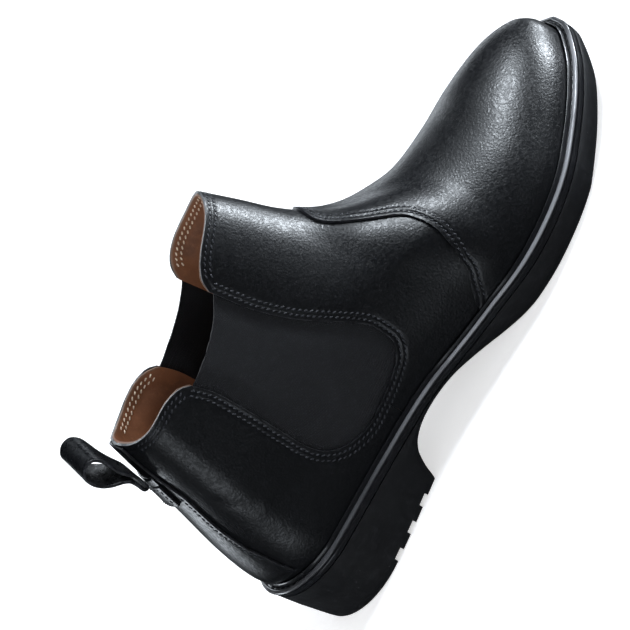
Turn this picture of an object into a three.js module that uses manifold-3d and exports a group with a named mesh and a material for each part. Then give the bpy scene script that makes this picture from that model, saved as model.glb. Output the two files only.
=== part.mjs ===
// Chelsea boot, right foot, built the way a shoe factory builds one: lined leather upper with elastic
// gores, insole board with shank and filler, storm welt, and a moulded rubber sole with a filled heel.
// Millimetres. +X points to the toe, -Y to the outer side of the foot, and the ground is z = 0.
import * as THREE from "three";
import { mergeVertices } from "three/addons/utils/BufferGeometryUtils.js";
import Module from "manifold-3d";

const wasm = await Module();
wasm.setup();

// Driving dimensions.
const footLength = 298.5; // back of the heel to the tip of the toe, upper only
const ballWidth = 106; // upper, across the ball of the foot
const shaftRise = 115; // feather line at the heel to the top of the shaft's front
const heelSeat = 36; // ground to the feather line at the heel
const soleSpring = 10.5; // ground to the underside of the toe's tip
const weltWidth = 5.5; // upper to the outer rim of the welt
const weltThickness = 4.6; // below the feather line
const leather = 1.3;
const elastic = 0.9;
const stiffener = 0.9; // toe puff and heel counter
const lining = 1.0;
const gap = 0.3; // clearance between touching pieces
const lapWidth = 8; // quarter leather that lies under the vamp
const goreLap = 5; // elastic that lies under the leather
const threadWidth = 0.8;
const threadHeight = 0.4;
const loopWidth = 23;
const loopHeight = 37.8; // root to tip, with the lean
const loopDepth = 11.3; // across the loop's bend
const webbing = 1.7; // thickness of the loop's band
const heelBreast = 82; // design origin, near the back of the sole, to the front of the heel block
const lugDepth = 2.6; // notches in the heel's tread
const lugPitch = 13.5;
const lugWidth = 6;
const nailLength = 19;
const nailRadius = 1.2;

// Scale of the drawn last against its base size.
const along = footLength / 298.5;
const across = ballWidth / 106;
const upward = shaftRise / 115;
const seat = heelSeat / 36;

const clamp = THREE.MathUtils.clamp;
const smooth = THREE.MathUtils.smoothstep;

// A smooth curve through [position, value] knots, straight beyond its ends.
function curveThrough(knots) {
  const last = knots.length - 1;
  const slope = knots.map((_, i) => {
    const a = knots[Math.max(i - 1, 0)];
    const b = knots[Math.min(i + 1, last)];
    return (b[1] - a[1]) / (b[0] - a[0]);
  });
  return (position) => {
    if (position <= knots[0][0]) return knots[0][1] + (position - knots[0][0]) * slope[0];
    if (position >= knots[last][0]) {
      return knots[last][1] + (position - knots[last][0]) * slope[last];
    }
    let i = 0;
    while (position > knots[i + 1][0]) i += 1;
    const span = knots[i + 1][0] - knots[i][0];
    const q = (position - knots[i][0]) / span;
    const q2 = q * q;
    const q3 = q2 * q;
    return (
      (2 * q3 - 3 * q2 + 1) * knots[i][1] +
      (q3 - 2 * q2 + q) * span * slope[i] +
      (3 * q2 - 2 * q3) * knots[i + 1][1] +
      (q3 - q2) * span * slope[i + 1]
    );
  };
}

// A smooth sheet through level curves, [level, knots] in rising order.
function sheetThrough(levels) {
  const curves = levels.map(([level, knots]) => [level, curveThrough(knots)]);
  const lowest = levels[0][0];
  const highest = levels.at(-1)[0];
  return (x, z) => {
    const knots = curves.map(([level, curve]) => [level, curve(x)]);
    return curveThrough(knots)(clamp(z, lowest, highest));
  };
}

// The last, drawn at base size. Its side view is bounded by the crest (toe, instep, front of the
// shaft), the back line and the feather line; each knot is [height share, x, z].
const crestKnots = [
  [0, 298.5, 27],
  [0.06, 297.8, 36],
  [0.12, 292, 45],
  [0.2, 276, 53.3],
  [0.3, 251, 58.8],
  [0.4, 228, 61.3],
  [0.5, 205, 67],
  [0.6, 184, 79],
  [0.7, 170.5, 94],
  [0.8, 162.5, 112],
  [0.9, 157.5, 132],
  [1, 152.5, 151],
];
const backKnots = [
  [0, 6, 36],
  [0.06, 5.4, 41],
  [0.12, 5.5, 46],
  [0.2, 7, 54],
  [0.3, 10, 65],
  [0.4, 13.7, 76],
  [0.5, 17.8, 87],
  [0.6, 21.2, 96.5],
  [0.7, 24.2, 105.5],
  [0.8, 27.5, 115],
  [0.9, 31.2, 126],
  [1, 35, 137],
];
const pick = (knots, column) => curveThrough(knots.map((knot) => [knot[0], knot[column]]));
const crestX = pick(crestKnots, 1);
const crestZ = pick(crestKnots, 2);
const backX = pick(backKnots, 1);
const backZ = pick(backKnots, 2);
const featherZ = curveThrough([
  [6, 36], [60, 31.5], [110, 27], [150, 22], [190, 19], [230, 19], [265, 22], [298.5, 27],
]);
// How far each level line dips between the back and the crest, as a share of the feather line's dip.
const dip = curveThrough([
  [0, 1], [0.12, 1.25], [0.2, 1.5], [0.3, 1.7], [0.4, 1.6], [0.5, 1.2],
  [0.6, 0.7], [0.7, 0.3], [0.8, 0.1], [0.9, 0], [1, 0],
]);
const heelX = 6; // back of the feather line on the base last
const toeX = 298.5; // its tip
const span = toeX - heelX;
const spring = (x) => (soleSpring - 10.5) * smooth(x, 235, toeX); // extra lift of the toe

// Half widths: the forefoot in plan view, and the heel, waist and shaft by height.
const forefoot = {
  outer: curveThrough([
    [150, 43], [160, 46.8], [180, 53.9], [203, 57], [227, 55], [250, 46.6], [265, 39.5], [280, 30],
    [290, 20], [296, 11], [298.5, 0],
  ]),
  inner: curveThrough([
    [150, 36], [160, 38], [180, 44], [205, 48.6], [227, 48.5], [250, 43.5], [265, 38.5], [280, 30.5],
    [290, 21.5], [296, 12], [298.5, 0],
  ]),
};
const shaft = [
  [85, [[15, 29], [40, 31], [80, 32.5], [120, 33.5], [160, 32], [200, 31]]],
  [110, [[20, 25.5], [40, 27.5], [80, 29], [120, 28.5], [160, 27]]],
  [135, [[20, 23.5], [40, 25], [80, 26], [120, 24.5], [160, 22]]],
  [155, [[20, 23], [40, 24], [80, 24.5], [120, 22.5], [160, 20]]],
];
const rearfoot = {
  outer: sheetThrough([
    [20, [[5, 33], [40, 34.5], [80, 34], [120, 36], [160, 46.5], [200, 56]]],
    [40, [[5, 33.5], [40, 35], [80, 35], [120, 37], [160, 45], [200, 53.5]]],
    [60, [[5, 31], [40, 33], [80, 34], [120, 35.5], [160, 39], [200, 44]]],
    ...shaft,
  ]),
  inner: sheetThrough([
    [20, [[5, 31], [40, 32], [80, 30], [120, 29.5], [160, 36.5], [200, 48.5]]],
    [40, [[5, 32], [40, 33.5], [80, 33], [120, 34], [160, 38.5], [200, 47]]],
    [60, [[5, 31], [40, 32.5], [80, 33.5], [120, 34.5], [160, 36.5], [200, 41]]],
    ...shaft,
  ]),
};
const backRound = curveThrough([[36, 33], [60, 31], [85, 27], [110, 24], [137, 22]]);
const frontRound = curveThrough([[60, 60], [85, 50], [110, 42], [135, 37], [155, 35]]);
const swingIn = (x) => 7 * Math.max((x - 150) / (toeX - 150), 0) ** 2; // the toe leans to the inner side
const arc = (share) => Math.sqrt(1 - (1 - clamp(share, 0, 1)) ** 2);

// The height share at which a rising or falling curve reaches a value.
function shareAt(curve, value, low, high) {
  const rising = curve(1) > curve(0);
  for (let i = 0; i < 36; i += 1) {
    const middle = (low + high) / 2;
    if (curve(middle) < value === rising) low = middle;
    else high = middle;
  }
  return (low + high) / 2;
}

function halfWidth(x, z, sideName) {
  const crest = crestZ(shareAt(crestX, x, -0.02, 1.9));
  const feather = featherZ(clamp(x, heelX, toeX));
  const depth = clamp((crest - z) / Math.max(crest - feather, 0.5), 0, 1);
  const dome = Math.sqrt(1 - (1 - depth) ** 1.7) * (1 + 0.03 * Math.sin(Math.PI * depth));
  const front = Math.max(forefoot[sideName](x), 0) * dome;
  const fromBack = x - backX(shareAt(backZ, z, -0.3, 1.9));
  const fromFront = crestX(shareAt(crestZ, z, -0.02, 1.9)) - x;
  const corners = arc(fromBack / backRound(z)) * arc(fromFront / frontRound(Math.max(z, 60)));
  const rear = rearfoot[sideName](x, z) * corners;
  return THREE.MathUtils.lerp(rear, front, smooth(x, 155, 195));
}

// Side view of the last: share 0 is the back line, share 1 the crest.
function sideView(share, rise) {
  const x = backX(rise) + share * (crestX(rise) - backX(rise));
  const level = backZ(rise) + share * (crestZ(rise) - backZ(rise));
  return [x, level + dip(rise) * (featherZ(heelX + share * span) - 36 + share * 9)];
}

// The skin of the last. The turn goes from the back seam round the outer side to the crest at pi and
// home on the inner side; the rise goes from the feather line, 0, to the top line, 1. A negative
// rise hangs straight down below the feather line, in decimetres.
function skin(turn, rise) {
  const share = (1 - Math.cos(turn)) / 2;
  const [x, z] = sideView(share, Math.max(rise, 0));
  const outer = Math.sin(turn) >= 0;
  const width = halfWidth(x, z, outer ? "outer" : "inner");
  const y = swingIn(x) + (outer ? -width : width);
  const base = featherZ(clamp(x, heelX, toeX));
  const height = base * seat + (z - base) * upward + spring(x) + Math.min(rise, 0) * 100;
  return new THREE.Vector3(x * along, y * across, height);
}

function skinNormal(turn, rise) {
  const step = 1e-3;
  const du = skin(turn + step, rise).sub(skin(turn - step, rise));
  const dv = skin(turn, rise + step).sub(skin(turn, rise - step));
  return du.cross(dv).normalize();
}

const onSkin = (turn, rise, lift) => skin(turn, rise).addScaledVector(skinNormal(turn, rise), lift);

// The [turn, rise] on the outer side that a side-view point [x, z] of the base last lies on.
function locate([x, z]) {
  let share = clamp(x / 300, 0, 1);
  let rise = clamp((z - 30) / 110, 0, 1);
  for (let i = 0; i < 60; i += 1) {
    const here = sideView(share, rise);
    const byShare = sideView(share + 1e-4, rise).map((v, k) => (v - here[k]) / 1e-4);
    const byRise = sideView(share, rise + 1e-4).map((v, k) => (v - here[k]) / 1e-4);
    const det = byShare[0] * byRise[1] - byShare[1] * byRise[0];
    const miss = [x - here[0], z - here[1]];
    const moveShare = (miss[0] * byRise[1] - miss[1] * byRise[0]) / det;
    const moveRise = (byShare[0] * miss[1] - byShare[1] * miss[0]) / det;
    share = clamp(share + clamp(moveShare, -0.1, 0.1), 0, 1);
    rise = clamp(rise + clamp(moveRise, -0.1, 0.1), 0, 1.05);
  }
  return [Math.acos(1 - 2 * share), rise];
}

const mirror = ([turn, rise]) => [2 * Math.PI - turn, rise];

// Points along a line of [turn, rise] knots, evenly spaced; turns count a third of rises.
function spread(knots, count) {
  const path = new THREE.CatmullRomCurve3(
    knots.map(([turn, rise]) => new THREE.Vector3(turn / 3, rise, 0)),
    false,
    "centripetal",
  );
  path.arcLengthDivisions = 400;
  return path.getSpacedPoints(count).map((point) => [point.x * 3, point.y]);
}

// A Coons patch: a grid of [turn, rise] between four edges. Left and right run from bottom to top.
function patch(bottom, top, left, right) {
  const nu = bottom.length - 1;
  const nv = left.length - 1;
  return left.map((_, j) =>
    bottom.map((_, i) => {
      const u = i / nu;
      const v = j / nv;
      return [0, 1].map(
        (k) =>
          (1 - v) * bottom[i][k] +
          v * top[i][k] +
          (1 - u) * left[j][k] +
          u * right[j][k] -
          (1 - u) * (1 - v) * bottom[0][k] -
          u * (1 - v) * bottom[nu][k] -
          (1 - u) * v * top[0][k] -
          u * v * top[nu][k],
      );
    }),
  );
}

const flip = (grid) => grid.map((row) => row.map(mirror).reverse());

function meshOf(positions, triangles) {
  const geometry = new THREE.BufferGeometry();
  const numbers = positions.flatMap((p) => [p.x, p.y, p.z]);
  geometry.setAttribute("position", new THREE.Float32BufferAttribute(numbers, 3));
  geometry.setIndex(triangles.flat());
  geometry.computeVertexNormals();
  return geometry;
}

// A sheet of constant thickness that follows the skin over one or more grids that share edges.
// The lift gives the height of its outer face above the skin at a grid point.
function panel(grids, thickness, lift) {
  const places = new Map();
  const params = [];
  const faces = [];
  const cornerOf = (param) => {
    const key = param.map((value) => Math.round(value * 1e5)).join();
    if (!places.has(key)) {
      places.set(key, params.length);
      params.push(param);
    }
    return places.get(key);
  };
  for (const grid of grids) {
    for (let j = 0; j + 1 < grid.length; j += 1) {
      for (let i = 0; i + 1 < grid[0].length; i += 1) {
        const corners = [grid[j][i], grid[j][i + 1], grid[j + 1][i + 1], grid[j + 1][i]];
        const [a, b, c, d] = corners.map(cornerOf);
        faces.push([a, b, c], [a, c, d]);
      }
    }
  }
  const solidFaces = faces.filter(([a, b, c]) => a !== b && b !== c && c !== a);
  const raised = params.map(([turn, rise]) => lift(turn, rise));
  const outer = params.map(([turn, rise], i) => onSkin(turn, rise, raised[i]));
  const inner = params.map(([turn, rise], i) => onSkin(turn, rise, raised[i] - thickness));
  const count = params.length;
  const triangles = [];
  const edges = new Map();
  for (const [a, b, c] of solidFaces) {
    triangles.push([a, b, c], [a + count, c + count, b + count]);
    for (const [from, to] of [[a, b], [b, c], [c, a]]) {
      if (!edges.delete(`${to},${from}`)) edges.set(`${from},${to}`, [from, to]);
    }
  }
  for (const [from, to] of edges.values()) {
    triangles.push([to, from, from + count], [to, from + count, to + count]);
  }
  return meshOf([...outer, ...inner], triangles);
}

// A solid swept through closed sections of equal point counts, as a ring or with both ends closed.
function loft(sections, closed) {
  const sides = sections[0].length;
  const total = sections.length;
  const triangles = [];
  const turns = closed ? total : total - 1;
  for (let i = 0; i < turns; i += 1) {
    const next = (i + 1) % total;
    for (let k = 0; k < sides; k += 1) {
      const other = (k + 1) % sides;
      const [here, there] = [i * sides, next * sides];
      triangles.push([here + k, here + other, there + other], [here + k, there + other, there + k]);
    }
  }
  if (!closed) {
    // Each end is closed by a ladder between the section's first half and its second.
    for (let k = 0; k + 1 < sides / 2; k += 1) {
      const [a, b, c, d] = [k, k + 1, sides - 2 - k, sides - 1 - k];
      const far = (total - 1) * sides;
      triangles.push([a, c, b], [a, d, c]);
      triangles.push([far + a, far + b, far + c], [far + a, far + c, far + d]);
    }
  }
  return outward(meshOf(sections.flat(), triangles));
}

// Turns a closed mesh's faces out when its signed volume is negative.
function outward(geometry) {
  const position = geometry.getAttribute("position");
  const index = geometry.getIndex();
  const corner = (i) => new THREE.Vector3().fromBufferAttribute(position, index.getX(i));
  let volume = 0;
  for (let i = 0; i < index.count; i += 3) volume += corner(i).dot(corner(i + 1).cross(corner(i + 2)));
  if (volume > 0) return geometry;
  for (let i = 0; i < index.count; i += 3) {
    const held = index.getX(i + 1);
    index.setX(i + 1, index.getX(i + 2));
    index.setX(i + 2, held);
  }
  geometry.computeVertexNormals();
  return geometry;
}

function toSolid(geometry) {
  const bare = geometry.clone();
  bare.deleteAttribute("normal");
  bare.deleteAttribute("uv");
  const merged = mergeVertices(bare, 1e-4);
  return new wasm.Manifold(
    new wasm.Mesh({
      numProp: 3,
      vertProperties: Float32Array.from(merged.getAttribute("position").array),
      triVerts: Uint32Array.from(merged.getIndex().array),
    }),
  );
}

function fromSolid(solid) {
  const mesh = solid.getMesh();
  const geometry = new THREE.BufferGeometry();
  const numbers = Float32Array.from(mesh.vertProperties);
  geometry.setAttribute("position", new THREE.BufferAttribute(numbers, 3));
  geometry.setIndex(new THREE.BufferAttribute(Uint32Array.from(mesh.triVerts), 1));
  geometry.computeVertexNormals();
  return geometry;
}

const cut = (geometry, tools) =>
  fromSolid(tools.reduce((solid, tool) => solid.subtract(toSolid(tool)), toSolid(geometry)));

// Materials.
const finishes = {
  leather: { color: 0x17181b, roughness: 0.35, metalness: 0 },
  lining: { color: 0x7a4526, roughness: 0.7, metalness: 0 },
  elastic: { color: 0x141416, roughness: 0.85, metalness: 0 },
  thread: { color: 0x0c0c0d, roughness: 0.6, metalness: 0 },
  rubber: { color: 0x151517, roughness: 0.75, metalness: 0 },
  board: { color: 0xa98a63, roughness: 0.9, metalness: 0 },
  cork: { color: 0x9a6a3a, roughness: 0.95, metalness: 0 },
  steel: { color: 0x9a9da1, roughness: 0.35, metalness: 1 },
  brass: { color: 0xb08d45, roughness: 0.4, metalness: 1 },
};

const boot = new THREE.Group();
function add(name, geometry, finish) {
  const mesh = new THREE.Mesh(geometry, new THREE.MeshStandardMaterial(finishes[finish]));
  mesh.name = name;
  boot.add(mesh);
  return mesh;
}

// Seam lines in the side view, [x, z] on the base last.
const drop = (weltThickness - 0.2) / 100;
const sideSeamX = 102;
const goreFoot = [sideSeamX, 41.3];
const goreFront = [
  goreFoot, [112, 42], [121, 43.7], [127, 47], [131, 55],
  [131, 65.5], [126, 78.5], [119, 96], [114.8, 116], [113.8, 134],
];
const goreRear = [
  goreFoot, [91.5, 41.5], [82, 45], [76, 49.5], [72, 56],
  [70.8, 65], [72, 77], [74, 94], [75.2, 113], [73.5, 123.5],
];
const goreHead = [[82, 123], [94, 124.7], [104, 127.2]];
const frontTop = [
  [113.8, 134], [117, 139], [122, 142.3], [129, 144.7],
  [136, 146], [143, 147.2], [149, 149], [152.5, 151],
];
const rearTop = [[73.5, 123.5], [70, 127.5], [62, 130.4], [55, 130.8], [46, 131], [39, 132.5], [35.2, 135]];
const vampSeam = [
  [156, 22.8], [163, 27.4], [169, 34], [175, 43], [179.7, 50], [182.8, 57], [183.6, 64],
  [182, 69.5], [177, 76], [170.4, 85], [165.6, 93], [163.6, 100], [163.8, 105],
];
const stripEdge = [
  [18.2, 40.5], [18, 55], [18, 63], [19.1, 71.3], [21.2, 80.8],
  [24.3, 90.6], [27.4, 100.5], [29, 109], [31, 118.5], [35.4, 133.5],
];
const vampTurn = 3; // the seam knot where the vamp's short lower edge ends

// A line of [turn, rise] points moved over the skin, to the right of its direction seen from outside.
function shifted(points, distance) {
  return points.map(([turn, rise], i) => {
    const before = skin(...points[Math.max(i - 1, 0)]);
    const after = skin(...points[Math.min(i + 1, points.length - 1)]);
    const aside = after.sub(before).cross(skinNormal(turn, rise)).normalize().multiplyScalar(distance);
    const step = 1e-3;
    const byTurn = skin(turn + step, rise).sub(skin(turn - step, rise)).divideScalar(2 * step);
    const byRise = skin(turn, rise + step).sub(skin(turn, rise)).divideScalar(step);
    const cross = byTurn.dot(byRise);
    const det = byTurn.lengthSq() * byRise.lengthSq() - cross ** 2;
    const [p, q] = [aside.dot(byTurn), aside.dot(byRise)];
    const moveTurn = (p * byRise.lengthSq() - q * cross) / det;
    const moveRise = (q * byTurn.lengthSq() - p * cross) / det;
    return [turn + moveTurn, rise + moveRise];
  });
}

const located = (line) => line.map(locate);
const atFeather = (x) => [locate([x, featherZ(x)])[0], 0];
const hung = ([turn]) => [turn, -drop];

// A line that ends on the crest, continued down the inner side.
function overCrest(line) {
  const side = located(line);
  side[side.length - 1][0] = Math.PI;
  return [...side, ...side.slice(0, -1).reverse().map(mirror)];
}

// Distance from a place to a line of places.
function distanceTo(line, place) {
  let nearest = Infinity;
  const closest = new THREE.Vector3();
  const stretch = new THREE.Line3();
  for (let i = 0; i + 1 < line.length; i += 1) {
    stretch.set(line[i], line[i + 1]).closestPointToPoint(place, true, closest);
    nearest = Math.min(nearest, closest.distanceTo(place));
  }
  return nearest;
}

const seamPath = overCrest(vampSeam);
const crestKnot = vampSeam.length - 1;
const seamPlaces = spread(seamPath, 60).map(([turn, rise]) => skin(turn, rise));
const layerGap = gap + 0.15; // between faceted sheets that lie on each other
const vampLap = leather + layerGap;
function vampLift(turn, rise) {
  const reach = distanceTo(seamPlaces, skin(turn, rise));
  return vampLap * (1 - smooth(reach, lapWidth + 3, lapWidth + 17));
}

// The vamp's outline. Its short lower edges end at the knot vampTurn of the seam.
const vampColumns = 34;
const vampRows = 11;
function vampGrid() {
  const start = hung(seamPath[0]);
  const left = spread([start, ...seamPath.slice(1, vampTurn + 1)], vampRows);
  const top = spread(seamPath.slice(vampTurn, seamPath.length - vampTurn), vampColumns);
  const bottom = spread([start, [Math.PI, -drop], mirror(start)], vampColumns);
  return patch(bottom, top, left, left.map(mirror));
}

// Part of a grid, from one row and column to another.
const within = (grid, rows, columns) =>
  grid.slice(rows[0], rows[1] + 1).map((row) => row.slice(columns[0], columns[1] + 1));

// Front quarter: under the gore's foot, the flank, and the shaft up to the crest, on both sides.
// It reaches forward of the vamp seam by the given distance.
function frontGrids(reach) {
  const lap = shifted(seamPath, reach).slice(0, crestKnot + 1);
  lap[crestKnot][0] = Math.PI;
  const turn = vampTurn + 2;
  const goreLine = located(goreFront);
  const corner = goreLine[2];
  const footFront = hung(atFeather(122));
  const seamBase = hung(atFeather(sideSeamX + gap / 2));
  const seamTop = locate([goreFoot[0] + gap / 2, goreFoot[1]]);
  const lapBase = hung(lap[0]);
  const inside = spread([footFront, corner], 4);
  const level = spread([corner, locate([150, 46]), lap[turn]], 8);
  const under = patch(
    spread([seamBase, footFront], 3),
    spread([seamTop, goreLine[1], corner], 3),
    spread([seamBase, seamTop], 4),
    inside,
  );
  const lapFoot = spread([lapBase, ...lap.slice(1, turn + 1)], 4);
  const flank = patch(spread([footFront, lapBase], 8), level, inside, lapFoot);
  const topLine = located(frontTop);
  topLine[topLine.length - 1][0] = Math.PI;
  const crestLine = [lap[crestKnot], topLine.at(-1)];
  const right = [...spread(lap.slice(turn), 6), ...spread(crestLine, 4).slice(1)];
  const shaftFront = patch(level, spread(topLine, 8), spread(goreLine.slice(2), 10), right);
  const half = [under, flank, shaftFront];
  return [...half, ...half.map(flip)];
}

// One rear quarter, from the back seam to the side seam and the gore.
const rearColumns = 13;
const rearRows = 8;
function rearGrid(backTurn) {
  const seamBase = hung(atFeather(sideSeamX - gap / 2));
  const seamTop = locate([goreFoot[0] - gap / 2, goreFoot[1]]);
  const goreLine = [seamTop, ...located(goreRear.slice(1))].reverse();
  const topLine = located(rearTop).reverse();
  const backTop = [backTurn, topLine[0][1]];
  const upper = Math.round(rearColumns * 0.4);
  const overBack = spread([backTop, ...topLine], upper);
  const top = [...overBack, ...spread(goreLine, rearColumns - upper).slice(1)];
  const bottom = spread([[backTurn, -drop], seamBase], rearColumns);
  const left = spread([[backTurn, -drop], backTop], rearRows);
  return patch(bottom, top, left, spread([seamBase, seamTop], rearRows));
}

// A half's mirror image with turns below zero, so that the two halves join at the back.
const innerHalf = (grid) =>
  flip(grid).map((row) => row.map(([turn, rise]) => [turn - 2 * Math.PI, rise]));

// The elastic lies under the leather at its edges and swells towards the leather's face between them.
const goreRound = [...located(goreRear).reverse(), ...located(goreFront).slice(1)];
const goreCut = shifted(goreRound, goreLap);
const goreMiddle = goreRear.length - 1;
function goreGrid() {
  const corner = 6;
  const rear = goreCut.slice(0, corner + 1).reverse();
  const front = goreCut.slice(goreMiddle + 3);
  const foot = goreCut.slice(corner, goreMiddle + 4);
  const top = [rear.at(-1), ...located(goreHead), front.at(-1)];
  return patch(spread(foot, 10), spread(top, 10), spread(rear, 9), spread(front, 9));
}

const goreEdge = spread(goreCut, 60).map(([turn, rise]) => skin(turn, rise));
const middleLayer = -(leather + gap);
const goreSwell = leather - 0.2;
function goreLift(turn, rise) {
  const place = skin(turn, rise);
  place.y = -Math.abs(place.y);
  return middleLayer + goreSwell * smooth(distanceTo(goreEdge, place), goreLap + 1.5, goreLap + 9);
}

function makeUppers() {
  const flush = () => 0;
  add("vamp", panel([vampGrid()], leather, vampLift), "leather");
  add("front_quarter", panel(frontGrids(lapWidth), leather, flush), "leather");
  const rear = rearGrid(0.008);
  add("rear_quarter_outer", panel([rear], leather, flush), "leather");
  add("rear_quarter_inner", panel([flip(rear)], leather, flush), "leather");
  const gore = goreGrid();
  add("gore_outer", panel([gore], elastic, goreLift), "elastic");
  add("gore_inner", panel([flip(gore)], elastic, goreLift), "elastic");
}

// The strip that covers the back seam, widening towards the welt.
const stripLeather = leather - 0.1;
const stripLift = stripLeather + layerGap;
function backStripGrid() {
  const side = located(stripEdge);
  const other = side.map(([turn, rise]) => [-turn, rise]);
  const base = locate([5.4, featherZ(6) + 2.6])[1];
  const top = locate([35, 136])[1];
  const bottomLine = [other[0], [0, base], side[0]];
  const topLine = [other.at(-1), [0, top], side.at(-1)];
  return patch(spread(bottomLine, 8), spread(topLine, 8), spread(other, 12), spread(side, 12));
}

// Linings, toe puff and heel counter, under the leather.
const liningLayer = middleLayer - stiffener - gap;
function makeInside() {
  const deep = () => liningLayer;
  const middle = () => middleLayer;
  const vamp = vampGrid();
  const rear = rearGrid(0);
  add("vamp_lining", panel([vamp], lining, deep), "lining");
  add("front_lining", panel(frontGrids(-2), lining, deep), "lining");
  add("rear_lining", panel([rear, innerHalf(rear)], lining, deep), "lining");
  add("toe_puff", panel([within(vamp, [0, 5], [9, vampColumns - 9])], stiffener, middle), "board");
  const cup = within(rear, [0, 5], [0, 6]);
  add("heel_counter", panel([cup, innerHalf(cup)], stiffener, middle), "board");
}

// A flat thread row laid on the skin along [turn, rise] points, at a height above it.
function threadRow(points, lift) {
  const places = points.map(([turn, rise]) => onSkin(turn, rise, lift));
  const sections = places.map((place, i) => {
    const ahead = places[Math.min(i + 1, places.length - 1)];
    const behind = places[Math.max(i - 1, 0)];
    const normal = skinNormal(...points[i]);
    const aside = ahead.clone().sub(behind).cross(normal).normalize().multiplyScalar(threadWidth / 2);
    const top = place.clone().addScaledVector(normal, threadHeight);
    const under = [place.clone().sub(aside), place.clone().add(aside)];
    return [...under, top.clone().add(aside), top.clone().sub(aside)];
  });
  return loft(sections, false);
}

const addThread = (name, points, lift) => add(name, threadRow(points, lift), "thread");
const between = (a, b, q) => [a[0] + q * (b[0] - a[0]), a[1] + q * (b[1] - a[1])];

function makeThreads() {
  const onVamp = vampLap + 2 * gap + 0.1; // clear of the vamp's steepest facets
  const seam = seamPath.slice(1, -1);
  for (const [row, distance] of [[1, 2.2], [2, 4.6]]) {
    addThread(`vamp_thread_${row}`, spread(shifted(seam, distance), 40), onVamp);
    const gore = spread(shifted(goreRound, distance), 34);
    addThread(`gore_thread_outer_${row}`, gore, gap);
    addThread(`gore_thread_inner_${row}`, gore.map(mirror), gap);
  }
  addThread("top_thread_front", spread(shifted(overCrest(frontTop).slice(2, -2), 3), 24), gap);
  const rear = spread(shifted(located(rearTop).slice(1, -1), -3), 8);
  addThread("top_thread_rear_outer", rear, gap);
  addThread("top_thread_rear_inner", rear.map(mirror), gap);
  const strip = backStripGrid().slice(1, 9);
  const onStrip = stripLift + gap;
  addThread("strip_thread_outer", strip.map((row) => between(row[7], row[8], 0.4)), onStrip);
  addThread("strip_thread_inner", strip.map((row) => between(row[1], row[0], 0.4)), onStrip);
}

// The bottom: plans follow the feather line, offset outwards in plan by a distance.
const featherX = (turn) => heelX + (span * (1 - Math.cos(turn))) / 2;
function rim(turn, offset, height) {
  const foot = skin(turn, 0);
  const outwards = skinNormal(turn, -0.02).setZ(0).normalize();
  return foot.addScaledVector(outwards, offset).setZ(height);
}
const levelAt = (x) => featherZ(x) * seat + spring(x);
const seatZ = (turn) => levelAt(featherX(turn));
const turnAt = (x) => Math.acos(1 - (2 * (x - heelX)) / span);

// A slab between two levels, as sections across the boot. The levels take the turn.
function slab(turns, offset, low, high) {
  const sections = turns.map((turn) => [
    rim(turn, offset, low(turn)),
    rim(-turn, offset, low(turn)),
    rim(-turn, offset, high(turn)),
    rim(turn, offset, high(turn)),
  ]);
  return loft(sections, false);
}

const range = (from, to, count) =>
  Array.from({ length: count + 1 }, (_, i) => from + ((to - from) * i) / count);
const endTurn = 0.08;
const insideOffset = liningLayer - lining - layerGap - 0.2;
const nailPlaces = [[26, 0], [40, -14], [40, 14], [58, -15], [58, 15]];

// A nail's profile about its axis, or with a clearance the hole that it stands in, open at the top.
function nailShape(clearance, x) {
  const face = (featherZ(x) + 0.5) * seat;
  const top = face + (clearance ? 3 : 0);
  const r = nailRadius + clearance;
  const head = nailRadius * 2 + clearance;
  const headLow = face - 0.8 - clearance;
  const low = face - nailLength - clearance;
  const profile = [[0, low], [r, low], [r, headLow], [head, headLow], [head, top], [0, top]];
  const lathe = new THREE.LatheGeometry(profile.map(([a, b]) => new THREE.Vector2(a, b)), 10);
  return lathe.rotateX(Math.PI / 2);
}

function nailSolid(clearance, [x, y]) {
  return outward(weld(nailShape(clearance, x).translate(x * along, y * across, 0)));
}

function weld(geometry) {
  geometry.deleteAttribute("normal");
  geometry.deleteAttribute("uv");
  return mergeVertices(geometry, 1e-4);
}

// Insole, filler, shank, pad and sock stack up from these levels over the feather line.
const boardLevels = [-1.9, 0.6];
const fillerLevels = [-4.4, -2.2];
const shankLevels = [-3.9, -2.2];
const padLevels = [0.9, 3.4];
const sockLevels = [0.95, 2.2];
const sockRise = 2.9; // over the heel pad
const shankHalf = 6.5; // half the shank's width
const above = (level) => (turn) => seatZ(turn) + level;

// A strip along the middle of the boot, of a half width, between two levels.
function midStrip(turns, half, low, high) {
  const sections = turns.map((turn) => {
    const x = featherX(turn) * along;
    const z = seatZ(turn);
    const corners = [[-half, low], [half, low], [half, high], [-half, high]];
    return corners.map(([y, dz]) => new THREE.Vector3(x, y, z + dz));
  });
  return loft(sections, false);
}

function makeInsole() {
  const turns = range(endTurn, Math.PI - endTurn, 32);
  const nails = nailPlaces.map((place) => nailSolid(gap, place));
  const board = slab(turns, insideOffset, ...boardLevels.map(above));
  add("insole_board", cut(board, nails), "board");
  const shankTurns = range(turnAt(72), turnAt(150), 8);
  add("shank", midStrip(shankTurns, shankHalf, ...shankLevels), "steel");
  const slot = midStrip(shankTurns, shankHalf + gap, -6, -1);
  const slots = [-2 * gap, 0, 2 * gap].map((shift) => slot.clone().translate(shift, 0, 0));
  const filler = slab(turns, insideOffset, ...fillerLevels.map(above));
  add("bottom_filler", cut(filler, [...nails, ...slots]), "cork");
  const padTurns = range(turnAt(14), turnAt(76), 8);
  add("heel_pad", slab(padTurns, insideOffset - 3.5, ...padLevels.map(above)), "board");
  const raised = (level) => (turn) =>
    seatZ(turn) + level + sockRise * (1 - smooth(featherX(turn), 80, 100));
  add("sock_liner", slab(turns, insideOffset - 0.6, ...sockLevels.map(raised)), "lining");
  for (const [i, place] of nailPlaces.entries()) {
    add(`heel_nail_${i + 1}`, nailSolid(0, place), "brass");
  }
}

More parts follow.
